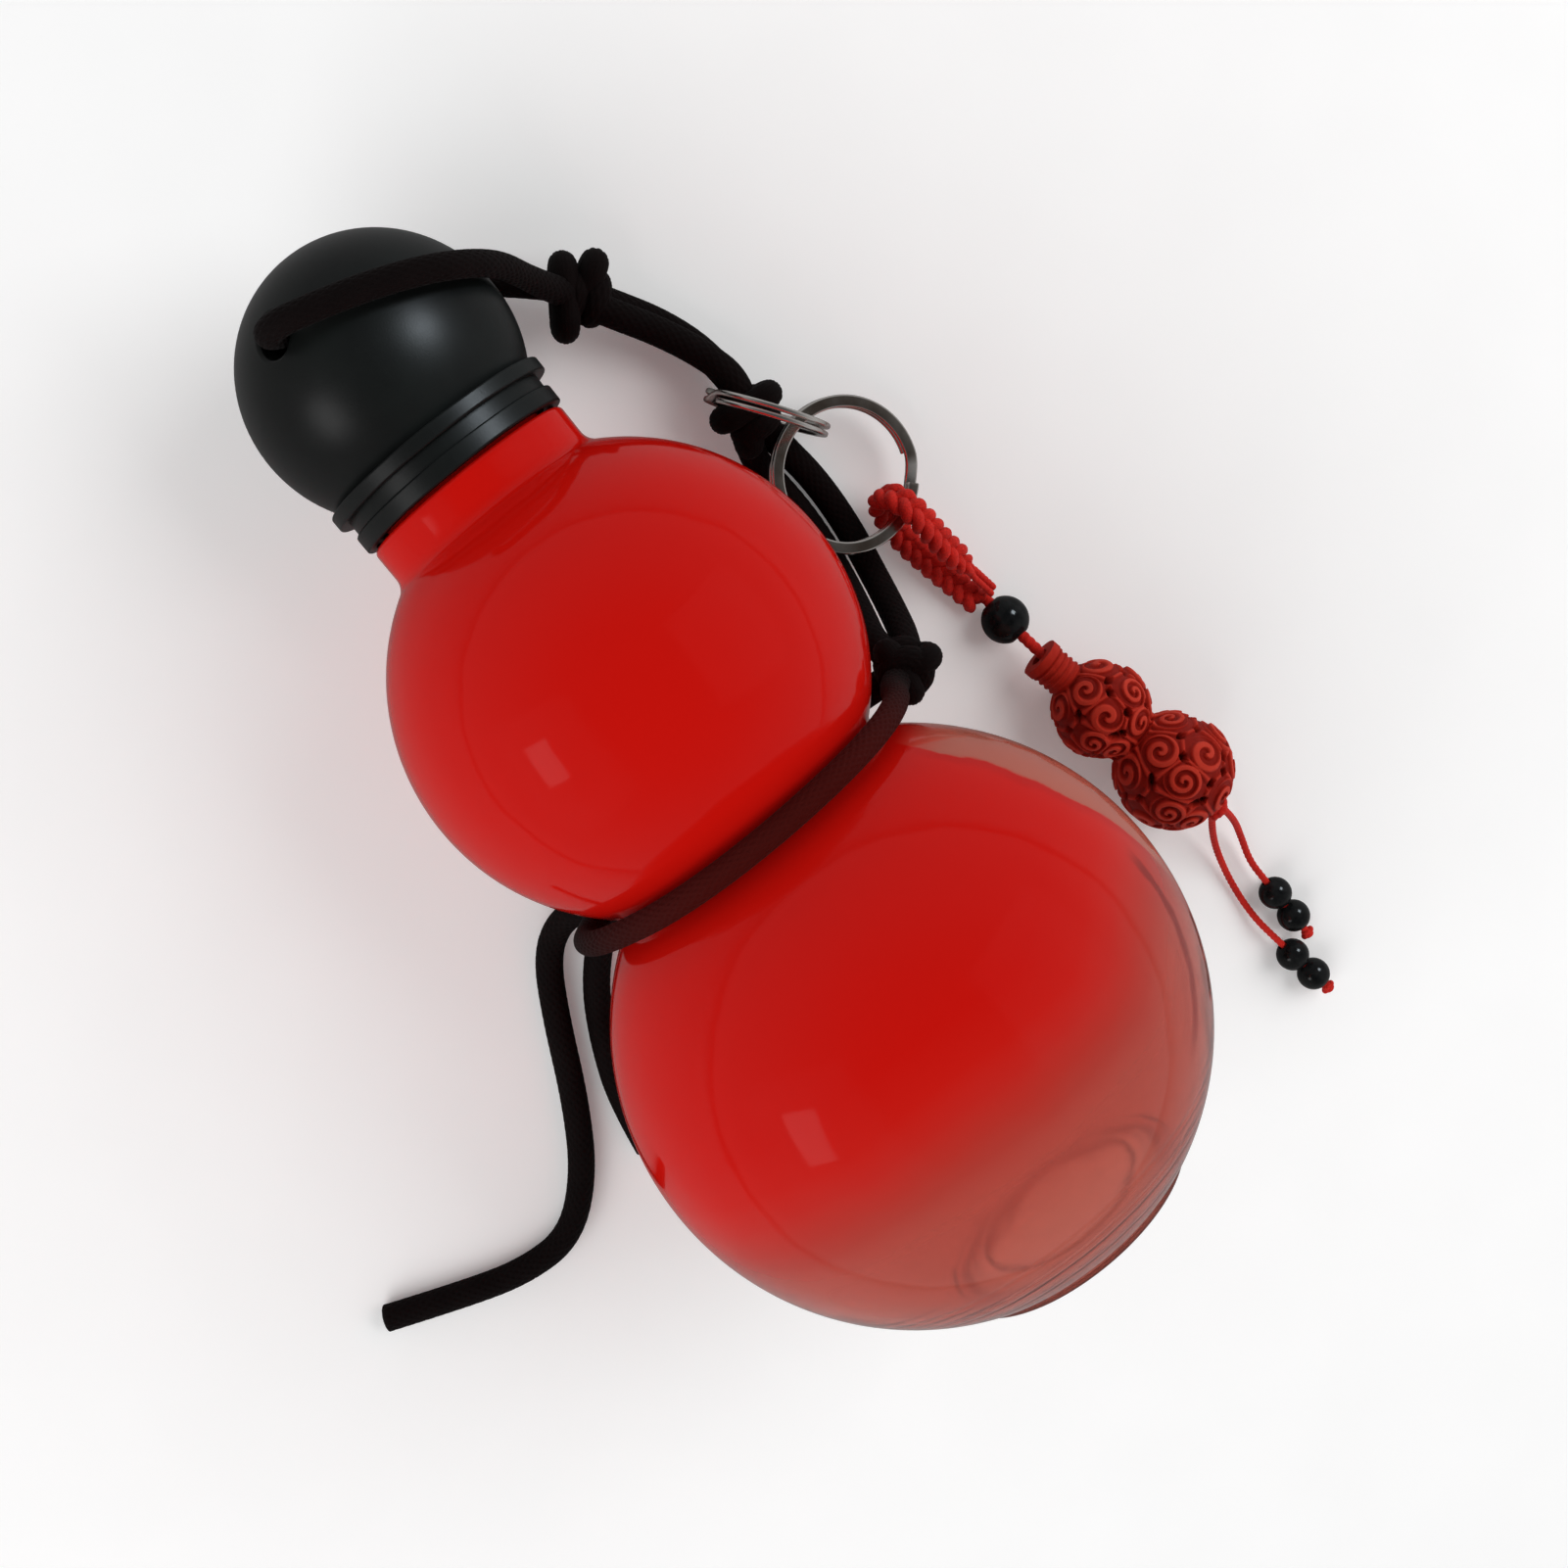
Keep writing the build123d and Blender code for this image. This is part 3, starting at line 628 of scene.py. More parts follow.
def metal_material():
    """Plated wire, with fine scratches and dull patches, and painted highlights and painted shade set by an attribute
    on the wire.
    """
    material, tree, shader = new_material("ring_metal")
    marks = noise(tree, 0.8 * mm, 5.0, 0.65)
    dull = noise(tree, 5 * mm, 3.0)
    # Painted light: the wire's attribute paints highlights on its rounded edges, near a ring's jog and over the whole
    # small ring, and leaves the key ring a shaded dark brown
    painted_highlight = add_node(tree, "ShaderNodeAttribute", attribute_name="painted_highlight").outputs["Fac"]
    rubbed = plus(tree, painted_highlight, scaled(tree, dull, 0.5, -0.25))
    stops = ((0.05, (0.13, 0.092, 0.070)), (0.45, (0.30, 0.24, 0.20)), (0.85, (0.88, 0.84, 0.80)))
    colour = colour_ramp(tree, rubbed, *stops)
    dress(tree, shader, base_color=colour, metallic=1.0, roughness=scaled(tree, marks, 0.25, 0.08))
    bump(tree, shader, marks, 0.15, 0.02 * mm)
    return material


def bead_material():
    """Polished black stone beads with faint clouds."""
    material, tree, shader = new_material("bead")
    cloud = noise(tree, 1.6 * mm, 4.0)
    colour = colour_ramp(tree, cloud, (0.35, (0.0030, 0.0032, 0.0034)), (0.8, (0.010, 0.010, 0.010)))
    dress(tree, shader, base_color=colour, roughness=scaled(tree, cloud, 0.08, 0.10), specular=0.15)
    return material


def lacquer_material():
    """Carved red lacquer, painted with shade in the hollows and pits, and lighter on the ridges."""
    material, tree, shader = new_material("lacquer")
    height = add_node(tree, "ShaderNodeAttribute", attribute_name="carve").outputs["Fac"]
    cloud = noise(tree, 1.2 * mm, 5.0, 0.6)
    depth = plus(tree, height, scaled(tree, cloud, 0.3, -0.15))
    # Painted shade: the carving's height darkens the colour down to near black in the hollows and pits
    stops = (
        (0.0, (0.030, 0.002, 0.001)),
        (0.2, (0.22, 0.009, 0.005)),
        (0.6, (0.40, 0.019, 0.010)),
        (0.95, (0.56, 0.044, 0.024)),
    )
    dress(tree, shader, base_color=colour_ramp(tree, depth, *stops), roughness=0.6, specular=0.12)
    bump(tree, shader, cloud, 0.35, 0.06 * mm)
    return material


def plain_plastic(name, dark, light, rough):
    """Smooth moulded plastic or rubber with a slight unevenness."""
    material, tree, shader = new_material(name)
    cloud = noise(tree, 3 * mm)
    colour = colour_ramp(tree, cloud, (0.3, dark), (0.8, light))
    dress(tree, shader, base_color=colour, roughness=scaled(tree, cloud, 0.1, rough))
    bump(tree, shader, noise(tree, 0.4 * mm), 0.2, 0.02 * mm)
    return material


bottle_look = bottle_material()
cap_look = cap_material()
cup_look = plain_plastic("cup", (0.012, 0.012, 0.013), (0.022, 0.022, 0.024), 0.3)
seal_look = plain_plastic("seal", (0.55, 0.55, 0.53), (0.66, 0.66, 0.64), 0.55)
# The black cord is tinted dark red round the bottle's waist, a painted reflection of the red bottle
black_yarn = yarn_material(
    "black_cord", (0.0022, 0.0013, 0.0013), (0.0085, 0.0050, 0.0050), (70, 9, 1), 0.02, 0.12,
    (Vector((-4.0, -2.0, 64.0)) * mm, 46 * mm, (0.052, 0.0028, 0.0018)),
)
red_yarn = yarn_material("red_cord", (0.34, 0.008, 0.006), (0.86, 0.030, 0.018), (24, 5, 1), 0.05, 0.3)
ring_look = metal_material()
bead_look = bead_material()
lacquer_look = lacquer_material()


# Bottle

def thread_crest(along, angle, start, end, shift):
    """The height of a screw thread's crest, from 0 to 1, over its run from start to end."""
    turn = (along - collar_end) / thread_lead - angle / tau + shift
    off = np.abs(turn - np.floor(turn) - 0.5)
    run = np.clip((along - start) / mm, 0, 1) * np.clip((end - along) / mm, 0, 1)
    return np.clip((0.19 - off) / 0.07, 0, 1) * run


def bottle_thread(along, angle, radius):
    """The thread stands out of the finish."""
    crest = thread_crest(along, angle, collar_end + 1.2 * mm, mouth_end - 1.2 * mm, 0.0)
    return thread_height * crest * (np.abs(radius - finish_radius) < 1e-7)


def cup_thread(along, angle, radius):
    """The cup's thread stands into its bore, between the turns of the bottle's."""
    crest = thread_crest(along, angle, rim_place + 1.4 * mm, cup_top - cup_plate - 1.4 * mm, 0.5)
    return -cup_thread_height * crest * (np.abs(radius - seat_radius) < 1e-7)


def bottle_profile():
    """The outline of the bottle's wall, from the middle of the punt, outside, and back inside."""
    foot_place = -bulb_spacing - foot_distance
    punt_ball = (punt_radius**2 + punt_depth**2) / (2 * punt_depth)
    punt_centre = (foot_place + punt_depth - punt_ball, 0)
    lower, upper = (-bulb_spacing, 0), (0, 0)
    step_place = punt_centre[0] + sqrt(punt_ball**2 - punt_step_radius**2)
    step_ball = punt_ball - punt_step_depth
    step_root = (punt_centre[0] + sqrt(step_ball**2 - punt_step_radius**2), punt_step_radius)
    step_rise = 0.15 * mm
    outline = arc(punt_centre, punt_ball, 0, angle_of((step_place, punt_step_radius - 2 * step_rise), punt_centre), 14)
    outline += straight(outline[-1], (step_root[0], punt_step_radius), 2)[1:]
    outline += straight(outline[-1], (step_root[0], punt_step_radius + step_rise), 1)[1:]
    outline += straight(outline[-1], (step_place - step_rise, punt_step_radius + 2 * step_rise), 2)[1:]
    start = angle_of((step_place, punt_step_radius + 3 * step_rise), punt_centre)
    outline += arc(punt_centre, punt_ball, start, angle_of((foot_place, punt_radius), punt_centre), 8)
    outline += straight((foot_place, punt_radius), (foot_place, foot_radius - foot_edge), 6)[1:]
    outline += arc((foot_place + foot_edge, foot_radius - foot_edge), foot_edge, 180, 90, 6)[1:]
    foot_root = (-bulb_spacing - sqrt(lower_radius**2 - foot_radius**2), foot_radius)
    outline += straight(outline[-1], foot_root, 3)[1:]
    waist = crossing(lower, lower_radius + waist_fillet, upper, upper_radius + waist_fillet)
    outline += arc(lower, lower_radius, angle_of(foot_root, lower), angle_of(waist, lower), 110)[1:]
    outline += arc(waist, waist_fillet, angle_of(waist, lower) - 180, angle_of(waist, upper) - 180, 14)[1:]
    neck_radius = collar_radius + collar_fillet
    neck = (sqrt((upper_radius + collar_fillet) ** 2 - neck_radius**2), neck_radius)
    outline += arc(upper, upper_radius, angle_of(waist, upper), angle_of(neck, upper), 90)[1:]
    outline += arc(neck, collar_fillet, angle_of(neck, upper) + 180, 270, 12)[1:]
    outline += straight(outline[-1], (collar_end - collar_edge, collar_radius), 4)[1:]
    outline += arc((collar_end - collar_edge, collar_radius - collar_edge), collar_edge, 90, 0, 6)[1:]
    outline += straight(outline[-1], (collar_end, finish_radius), 3)[1:]
    outline += straight((collar_end, finish_radius), (mouth_end - lip_fillet, finish_radius), 70)[1:]
    outline += arc((mouth_end - lip_fillet, finish_radius - lip_fillet), lip_fillet, 90, 0, 5)[1:]
    outline += straight(outline[-1], (mouth_end, mouth_radius + lip_fillet), 2)[1:]
    outline += arc((mouth_end - lip_fillet, mouth_radius + lip_fillet), lip_fillet, 0, -90, 5)[1:]
    inside_upper, inside_lower, soft = upper_radius - wall, lower_radius - wall, waist_fillet + wall
    neck_root = (sqrt(inside_upper**2 - mouth_radius**2), mouth_radius)
    outline += straight(outline[-1], neck_root, 20)[1:]
    hollow = crossing(lower, inside_lower + soft, upper, inside_upper + soft)
    outline += arc(upper, inside_upper, angle_of(neck_root, upper), angle_of(hollow, upper), 90)[1:]
    outline += arc(hollow, soft, angle_of(hollow, upper) - 180, angle_of(hollow, lower) - 180, 14)[1:]
    over_punt = punt_ball + base_wall
    meet = crossing(punt_centre, over_punt, lower, inside_lower)
    outline += arc(lower, inside_lower, angle_of(hollow, lower), angle_of(meet, lower), 110)[1:]
    outline += arc(punt_centre, over_punt, angle_of(meet, punt_centre), 0, 20)[1:]
    return outline


piece(
    "bottle", turned(bottle_profile(), upper_centre, axis, axis_up, 288, bottle_thread),
    bottle_look, "bottle", ["bottle_shell"],
)


# Cap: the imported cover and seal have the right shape, and the cup gets its thread

cup_foot = rim_place + cup_recess
cup_profile = straight((cup_top - cup_plate, 0), (cup_top - cup_plate, seat_radius), 4)
cup_profile += straight((cup_top - cup_plate, seat_radius), (cup_foot, seat_radius), 60)[1:]
cup_profile += straight((cup_foot, seat_radius), (cup_foot, cup_radius - cup_fit), 2)[1:]
cup_profile += straight((cup_foot, cup_radius - cup_fit), (cup_top, cup_radius - cup_fit), 8)[1:]
cup_profile += straight((cup_top, cup_radius - cup_fit), (cup_top, 0), 4)[1:]
piece(
    "cup", turned(cup_profile, upper_centre, axis, axis_up, 144, cup_thread),
    cup_look, "cap", ["cap_cup"],
)
for node, look in (("cap_cover", cap_look), ("cap_seal", seal_look)):
    mesh = frame["nodes"][node].data
    mesh.materials.clear()
    mesh.materials.append(look)
    mesh.polygons.foreach_set("use_smooth", [True] * len(mesh.polygons))
    mesh.set_sharp_from_angle(angle=sharp_angle)


# Carrying cord

weave_columns = 24
weave_pick = 0.85 * mm
weave_height = 0.085 * mm
cord_sides = 72
cord_step = 0.22 * mm


def weave(along, angle):
    """The relief of a round braid: crowns of yarn where the two ways of winding cross."""
    climb = along / weave_pick * pi
    turn = angle * weave_columns / 2
    return weave_height * (np.maximum(np.cos(turn + climb), np.cos(turn - climb)) - 0.6)


def black_cord(name, points, nodes, pull=0.0, body="harness"):
    """One stretch of the carrying cord. A pull makes it thinner away from its ends."""
    line = smooth_line(points)

    def radius(share):
        return cord_diameter / 2 * (1 - pull * np.clip(np.minimum(share, 1 - share) * 8, 0, 1))

    surface = tube(line, radius, cord_sides, cord_step, weave)
    piece(name, surface, black_yarn, body, nodes)


def tied(centre, way, bights, thickness, turn_radius, turn_gap, depth, sides, relief=None, repeat=None):
    """A knot: two turns round the cord, and bights that wrap over them."""
    centre, way = Vector(centre) * mm, Vector(way).normalized()
    side = way.orthogonal().normalized()
    shapes = [
        (centre + way * offset, side * turn_radius, way.cross(side) * turn_radius)
        for offset in (-turn_gap / 2, turn_gap / 2)
    ]
    loops = []
    count = 72
    angles = np.arange(count) * tau / count
    for middle, long_way, short_way in shapes:
        out = np.outer(np.cos(angles), np.array(long_way)) + np.outer(np.sin(angles), np.array(short_way))
        loops.append(loop(np.array(middle) + out, out, thickness / 2, sides, relief, repeat))
    for start, end in bights:
        start, end = Vector(start) * mm, Vector(end) * mm
        reach = (end - start) / 2
        rise = Vector((0, 0, 1)) - reach * (reach.z / reach.length_squared)
        out = stadium(reach, rise.normalized() * depth, thickness / 8)
        loops.append(loop(np.array((start + end) / 2) + out, out, thickness / 2, sides, relief, repeat))
    return joined(loops)


def stadium(reach, rise, step):
    """Points round a bight: out over the top, round the end and back below."""
    reach, rise = np.array(reach), np.array(rise)
    along, depth = reach / np.linalg.norm(reach), np.linalg.norm(rise)
    half = np.linalg.norm(reach)
    flat = np.linspace(-half, half, max(4, round(2 * half / step)))[:, None]
    bend = np.linspace(0, pi, max(8, round(pi * depth / step)))[1:-1, None]
    top = along * flat + rise
    right = along * (half + depth * np.sin(bend)) + rise * np.cos(bend)
    return np.concatenate([top, right, -top, -right])


knot_cord_diameter = 0.95 * cord_diameter
knot_turn_radius = 2.3 * mm
knot_turn_gap = 3.2 * mm
knot_bight_depth = 1.9 * mm


def black_knot(name, centre, way, bights, node):
    """A knot of the carrying cord."""
    surface = tied(
        centre, way, bights, knot_cord_diameter, knot_turn_radius, knot_turn_gap, knot_bight_depth,
        cord_sides, weave, 2 * weave_pick,
    )
    return piece(name, surface, black_yarn, "harness", [node])


upper_knot = black_knot("upper_knot", (62.2, -31.3, 8.2), (-0.75, -0.6, -0.1), [
    [(66.0, -30.4, 9.2), (61.5, -27.1, 9.2)],
    [(64.0, -34.0, 8.8), (62.4, -31.2, 7.6)],
], "cord_upper_knot")
middle_knot = black_knot("middle_knot", (32.5, -40.8, 7.4), (-1.0, 0.0, -0.1), [
    [(33.7, -43.2, 8.4), (34.3, -38.8, 8.0)],
    [(32.8, -40.6, 6.8), (30.4, -39.0, 6.8)],
], "cord_middle_knot")
lower_knot = black_knot("lower_knot", (-9.2, -33.4, 27.2), (-0.25, 0.25, 0.93), [
    [(-9.5, -35.6, 27.6), (-8.8, -33.0, 26.8)],
    [(-7.6, -32.6, 27.0), (-10.6, -32.2, 27.8)],
], "cord_lower_knot")
waist_knot = black_knot("waist_knot", (-12.0, 22.2, 14.0), (0.1, 0.8, 0.6), [
    [(-9.4, 20.6, 11.4), (-15.2, 23.4, 11.4)],
    [(-11.2, 25.0, 16.6), (-13.6, 19.8, 11.0)],
], "cord_waist_knot")

# Each stretch runs on into its knots
cap_loop_route = route(
    (62.8, -30.6, 8.6), (64.2, -29.0, 10.8), (66.8, -26.8, 15.6), (69.8, -24.4, 23.0), (72.8, -21.8, 32.2),
    (75.2, -17.9, 39.8),
    (77.8, -12.6, 44.3), (80.4, -5.6, 46.4), (82.4, 1.2, 46.2), (84.0, 7.4, 44.8), (83.2, 9.2, 41.2),
    (78.0, -9.9, 6.7), (74.6, -18.0, 4.2), (69.4, -25.2, 4.6), (65.0, -29.8, 6.6),
)
low_strand_route = route(
    (60.4, -33.2, 5.8), (57.6, -35.2, 4.2), (52.0, -38.9, 2.4), (45.4, -41.6, 2.4), (38.9, -42.3, 3.6),
    (32.6, -42.0, 5.6), (25.8, -42.4, 4.2), (17.8, -43.9, 2.4), (8.4, -43.7, 2.4),
    (-0.2, -41.8, 5.6), (-4.8, -39.6, 13.0), (-8.4, -37.0, 21.4), (-9.6, -34.4, 26.0),
)
high_strand_route = route(
    (60.2, -31.4, 9.6), (57.0, -33.4, 9.2), (51.4, -37.2, 7.4), (44.8, -40.5, 7.4), (38.3, -42.4, 8.6),
    (32.4, -40.0, 7.6), (26.6, -37.4, 4.4), (17.8, -38.7, 2.8), (9.6, -38.7, 2.8),
    (2.6, -37.0, 7.4), (-1.6, -34.8, 15.2), (-4.6, -32.6, 22.6), (-7.8, -32.8, 26.6),
)
waist_front_route = route(
    (-9.3, -31.6, 28.8), (-8.8, -29.0, 33.8), (-7.4, -27.7, 44.1), (-5.6, -21.1, 55.9), (-4.4, -10.3, 63.5),
    (-4.1, 2.8, 65.6), (-4.8, 15.4, 60.8), (-5.8, 24.7, 50.9), (-7.6, 29.5, 38.6),
    (-9.8, 28.1, 26.5), (-11.2, 25.8, 19.4), (-12.2, 22.8, 14.6),
)
waist_back_route = route(
    (-9.6, -32.6, 25.6), (-10.4, -28.4, 21.2), (-11.4, -18.4, 14.2), (-12.1, -5.6, 11.2), (-12.1, 6.0, 11.2),
    (-11.9, 16.6, 12.8), (-12.0, 21.4, 14.2),
)
long_tail_route = route(
    (-11.6, 23.6, 13.4), (-11.2, 27.6, 10.6), (-11.4, 32.8, 6.4), (-15.6, 38.4, 3.0), (-24.6, 43.8, 2.4),
    (-38.5, 50.8, 2.4), (-49.6, 58.0, 2.4), (-56.6, 66.6, 2.4), (-56.2, 76.0, 2.4),
    (-52.4, 86.0, 2.4), (-46.8, 98.0, 2.4),
)
short_tail_route = route(
    (-12.6, 23.6, 12.6), (-15.0, 26.4, 9.6), (-19.6, 31.2, 5.2), (-26.2, 36.6, 2.4), (-34.4, 41.2, 2.4),
    (-43.6, 45.0, 2.4), (-53.0, 46.8, 2.4),
)

# From the knot's side, which stays, to both mouths of the cross hole, which rise with the cap
loop_bodies = ("harness", "cap", (66 * mm, -28 * mm, 6 * mm), (78 * mm, -11 * mm, 6 * mm))
black_cord("cap_loop", cap_loop_route, ["cord_cap_loop"], 0.18, loop_bodies)
black_cord("low_strand", low_strand_route, ["cord_upper_span_low", "cord_lower_span_right"])
black_cord("high_strand", high_strand_route, ["cord_upper_span_high", "cord_lower_span_left"])
black_cord("waist_front", waist_front_route, ["cord_waist_front"], 0.18)
black_cord("waist_back", waist_back_route, ["cord_waist_back"])
black_cord("long_tail", long_tail_route, ["cord_long_tail"])
black_cord("short_tail", short_tail_route, ["cord_short_tail"])


# Split rings

def split_ring(name, centre, x_way, normal, diameter, width, body, node, flat_painted_highlight):
    """Two turns of flat wire, the second lying on the first past a short jog."""
    normal = Vector(normal).normalized()
    x_way = Vector(x_way)
    x_way = (x_way - normal * x_way.dot(normal)).normalized()
    y_way = normal.cross(x_way)
    pitch = ring_wire_thickness + ring_turn_gap
    middle = (diameter - width) / 2
    start, count = ring_jog_turn, 360
    rows, places, painted_highlight = [], [], []
    corner = ring_wire_corner
    half_width, half_height = width / 2 - corner, ring_wire_thickness / 2 - corner
    section = []
    for quarter, (side_w, side_h) in enumerate(((1, 1), (-1, 1), (-1, -1), (1, -1))):
        for k in range(6):
            turn = (quarter + k / 5) * pi / 2
            section.append((side_w * half_width + corner * cos(turn), side_h * half_height + corner * sin(turn)))
    # Painted highlight: the rounded corners of the wire's section are set brighter than its flats
    edges = [1.0 if 0 < k % 6 < 5 else 0.5 for k in range(len(section))]
    for k in range(count + 1):
        turn = start + (2 * tau - start) * k / count
        climb = min(1.0, max(0.0, (turn - tau) / ring_jog_turn))
        height = pitch * (climb * climb * (3 - 2 * climb) - 0.5)
        out = x_way * cos(turn) + y_way * sin(turn)
        rows.append([centre + out * (middle + w) + normal * (height + h) for w, h in section])
        places.append(middle * turn)
        # Painted highlight: a bright stretch of wire near the jog, and flats painted bright all over where the flat
        # value is high
        near_jog = max(0.0, 1 - abs((turn - painted_glint_turn + pi) % tau - pi) / painted_glint_reach)
        flat = max(flat_painted_highlight, near_jog)
        painted_highlight.append([max(flat, edge) for edge in edges])
    painted_highlight = [painted_highlight[0]] * 2 + painted_highlight + [painted_highlight[-1]] * 2
    for end, beside in ((0, 1), (-1, -2)):
        ring, inner = np.array(rows[end]), np.array(rows[beside])
        face = ring.mean(0)
        tip = (ring - inner) / np.linalg.norm(face - inner.mean(0)) * 0.1 * mm
        caps = [face + (ring - face) * 0.93 + tip, np.repeat(face[None] + tip.mean(0), len(section), 0)]
        rows = caps[::-1] + rows if end == 0 else rows + caps
        edge = [places[0] - 0.2 * mm, places[0] - 0.1 * mm] if end == 0 else []
        places = edge + places + ([] if end == 0 else [places[-1] + 0.1 * mm, places[-1] + 0.2 * mm])
    surface = grid(np.array([[tuple(p) for p in row] for row in rows]), np.array(places))
    return piece(name, surface, ring_look, body, [node], {"painted_highlight": np.array(painted_highlight).ravel()})


# Where the painted highlight near the jog lies, and how far it reaches
painted_glint_turn = radians(11)
painted_glint_reach = radians(24)


def heading(degrees):
    """The level direction at a turn from +X towards +Y."""
    return Vector((cos(radians(degrees)), sin(radians(degrees)), 0))


small_ring_centre = Vector((31.5 * mm, -42.8 * mm, small_ring_diameter / 2 + ground_gap))
small_ring_side = heading(215.7)
# Painted light: the small ring's flats are painted bright, the key ring's are left a shaded dark
split_ring(
    "small_ring", small_ring_centre, -small_ring_side, Vector((0, 0, 1)).cross(small_ring_side),
    small_ring_diameter, small_ring_width, "small_ring", "small_split_ring", 1.0,
)
key_ring_tilt = radians(9.2)
split_ring(
    "key_ring", Vector((15.9, -47.2, 8.0)) * mm, heading(225.4), (0, -sin(key_ring_tilt), cos(key_ring_tilt)),
    key_ring_diameter, key_ring_width, "key_ring", "key_split_ring", 0.0,
)


# Charm: places

charm_turn = 192.2
charm_lower_centre = Vector((-58.1 * mm, -61.9 * mm, charm_lower_radius + ground_gap))
charm_rise = asin((charm_lower_radius - charm_upper_radius) / charm_spacing)
charm_way = heading(charm_turn) * cos(charm_rise) + Vector((0, 0, sin(charm_rise)))
charm_upper_centre = charm_lower_centre - charm_way * charm_spacing
charm_mouth = charm_upper_centre - charm_way * charm_neck_length
charm_base = charm_lower_centre + charm_way * charm_base_distance
large_bead_centre = Vector((-20.6 * mm, -55.15 * mm, large_bead_diameter / 2 + ground_gap))
large_bead_way = (charm_mouth - large_bead_centre).normalized()


# Charm: cords

def ply(along, angle):
    """The relief of a two-ply thread, as a share of a millimetre."""
    return 0.07 * mm * np.cos(2 * (angle - along / (2.6 * mm) * tau))


def thin_ply(along, angle):
    """The same for the thinner tails."""
    return 0.05 * mm * np.cos(2 * (angle - along / (1.9 * mm) * tau))


def red_cord(name, surface, nodes):
    """A red cord."""
    piece(name, surface, red_yarn, "charm", nodes)


def braided_loop(line):
    """A flat braid of three strands, which goes on as two bare threads after the last of its braiding."""
    points, places = evenly(line, cord_step)
    _, across, over = turning_frames(points)
    braid_end = places[-1] * braid_share
    open_share = np.clip((places - braid_end) / (4 * mm), 0, 1)
    open_share = open_share * open_share * (3 - 2 * open_share)
    strands = []
    for strand in range(3):
        turn = places / braid_period * tau + strand * tau / 3
        wide = braid_swing * np.sin(turn) * (1 - open_share)
        high = braid_lift * np.sin(2 * turn) * (1 - open_share)
        if strand < 2:
            wide = wide + (bare_offset if strand else -bare_offset) * open_share
            keep = len(points)
        else:
            keep = int(np.searchsorted(places, braid_end + 3 * mm))
        strand_line = points + across * wide[:, None] + over * high[:, None]
        size = braid_strand_radius + (bare_strand_radius - braid_strand_radius) * open_share

        def radius(share, size=size[:keep]):
            return np.interp(share, np.linspace(0, 1, len(size)), size)

        strands.append(tube([Vector(p) for p in strand_line[:keep]], radius, 16, cord_step, thin_ply))
    return joined(strands)


braid_share = 0.84
bare_offset = 0.62 * mm
braid_period = 7.0 * mm
braid_swing = 1.50 * mm
braid_lift = 0.72 * mm
braid_strand_radius = 0.98 * mm
bare_strand_radius = 0.56 * mm
braid_line = smooth_line(route(
    (-15.6, -53.6, 2.2), (-7.0, -51.4, 2.1), (1.0, -49.6, 2.3), (7.8, -49.6, 3.8), (9.6, -50.8, 8.4),
    (5.8, -52.0, 12.2), (-2.4, -53.0, 9.6), (-9.6, -54.8, 6.6), (-15.2, -56.2, 4.6),
))
red_cord("braid", braided_loop(braid_line), ["charm_braid"])


# Charm: carved gourd and beads

def bored_ball(diameter, flat_radius, bore):
    """The outline of a bead with a flat at each end of its bore."""
    flat = sqrt((diameter / 2) ** 2 - flat_radius**2)
    turn = angle_of((flat, flat_radius), (0, 0))
    outline = arc((0, 0), diameter / 2, 180 - turn, turn, 48)
    rounding = (flat_radius - bore / 2) / 3
    outline += [(flat, flat_radius - rounding), (flat - rounding, bore / 2)]
    outline += straight((flat - rounding, bore / 2), (rounding - flat, bore / 2), 6)[1:]
    outline += [(-flat, flat_radius - rounding)]
    return outline


def bead(name, centre, way, diameter, flat_radius, bore, body):
    """A polished bead."""
    up = Vector((0, 0, 1)) - way * way.z
    surface = turned(bored_ball(diameter, flat_radius, bore), centre, way, up.normalized(), 72, closed=True)
    return piece(name, surface, bead_look, body, [body])


def scroll_places(radius, pitch, latitudes):
    """The middles of the carved scrolls on a bulb, the way each winds, and how wide it winds."""
    middles, hands, pitches = [], [], []
    for row, latitude in enumerate(latitudes):
        count = max(3, round(tau * radius * cos(latitude) / pitch))
        for k in range(count):
            turn = (k + 0.5 * (row % 2)) * tau / count + row * 0.4 + 0.17 * sin(7 * k + 3 * row)
            tilt = latitude + 0.13 * sin(5 * k + 2 * row)
            middles.append((sin(tilt), cos(tilt) * cos(turn), cos(tilt) * sin(turn)))
            hands.append(1 if (k + row) % 2 else -1)
            pitches.append(scroll_pitch * (1 + 0.25 * sin(3 * k + 5 * row)))
    return np.array(middles), np.array(hands), np.array(pitches)


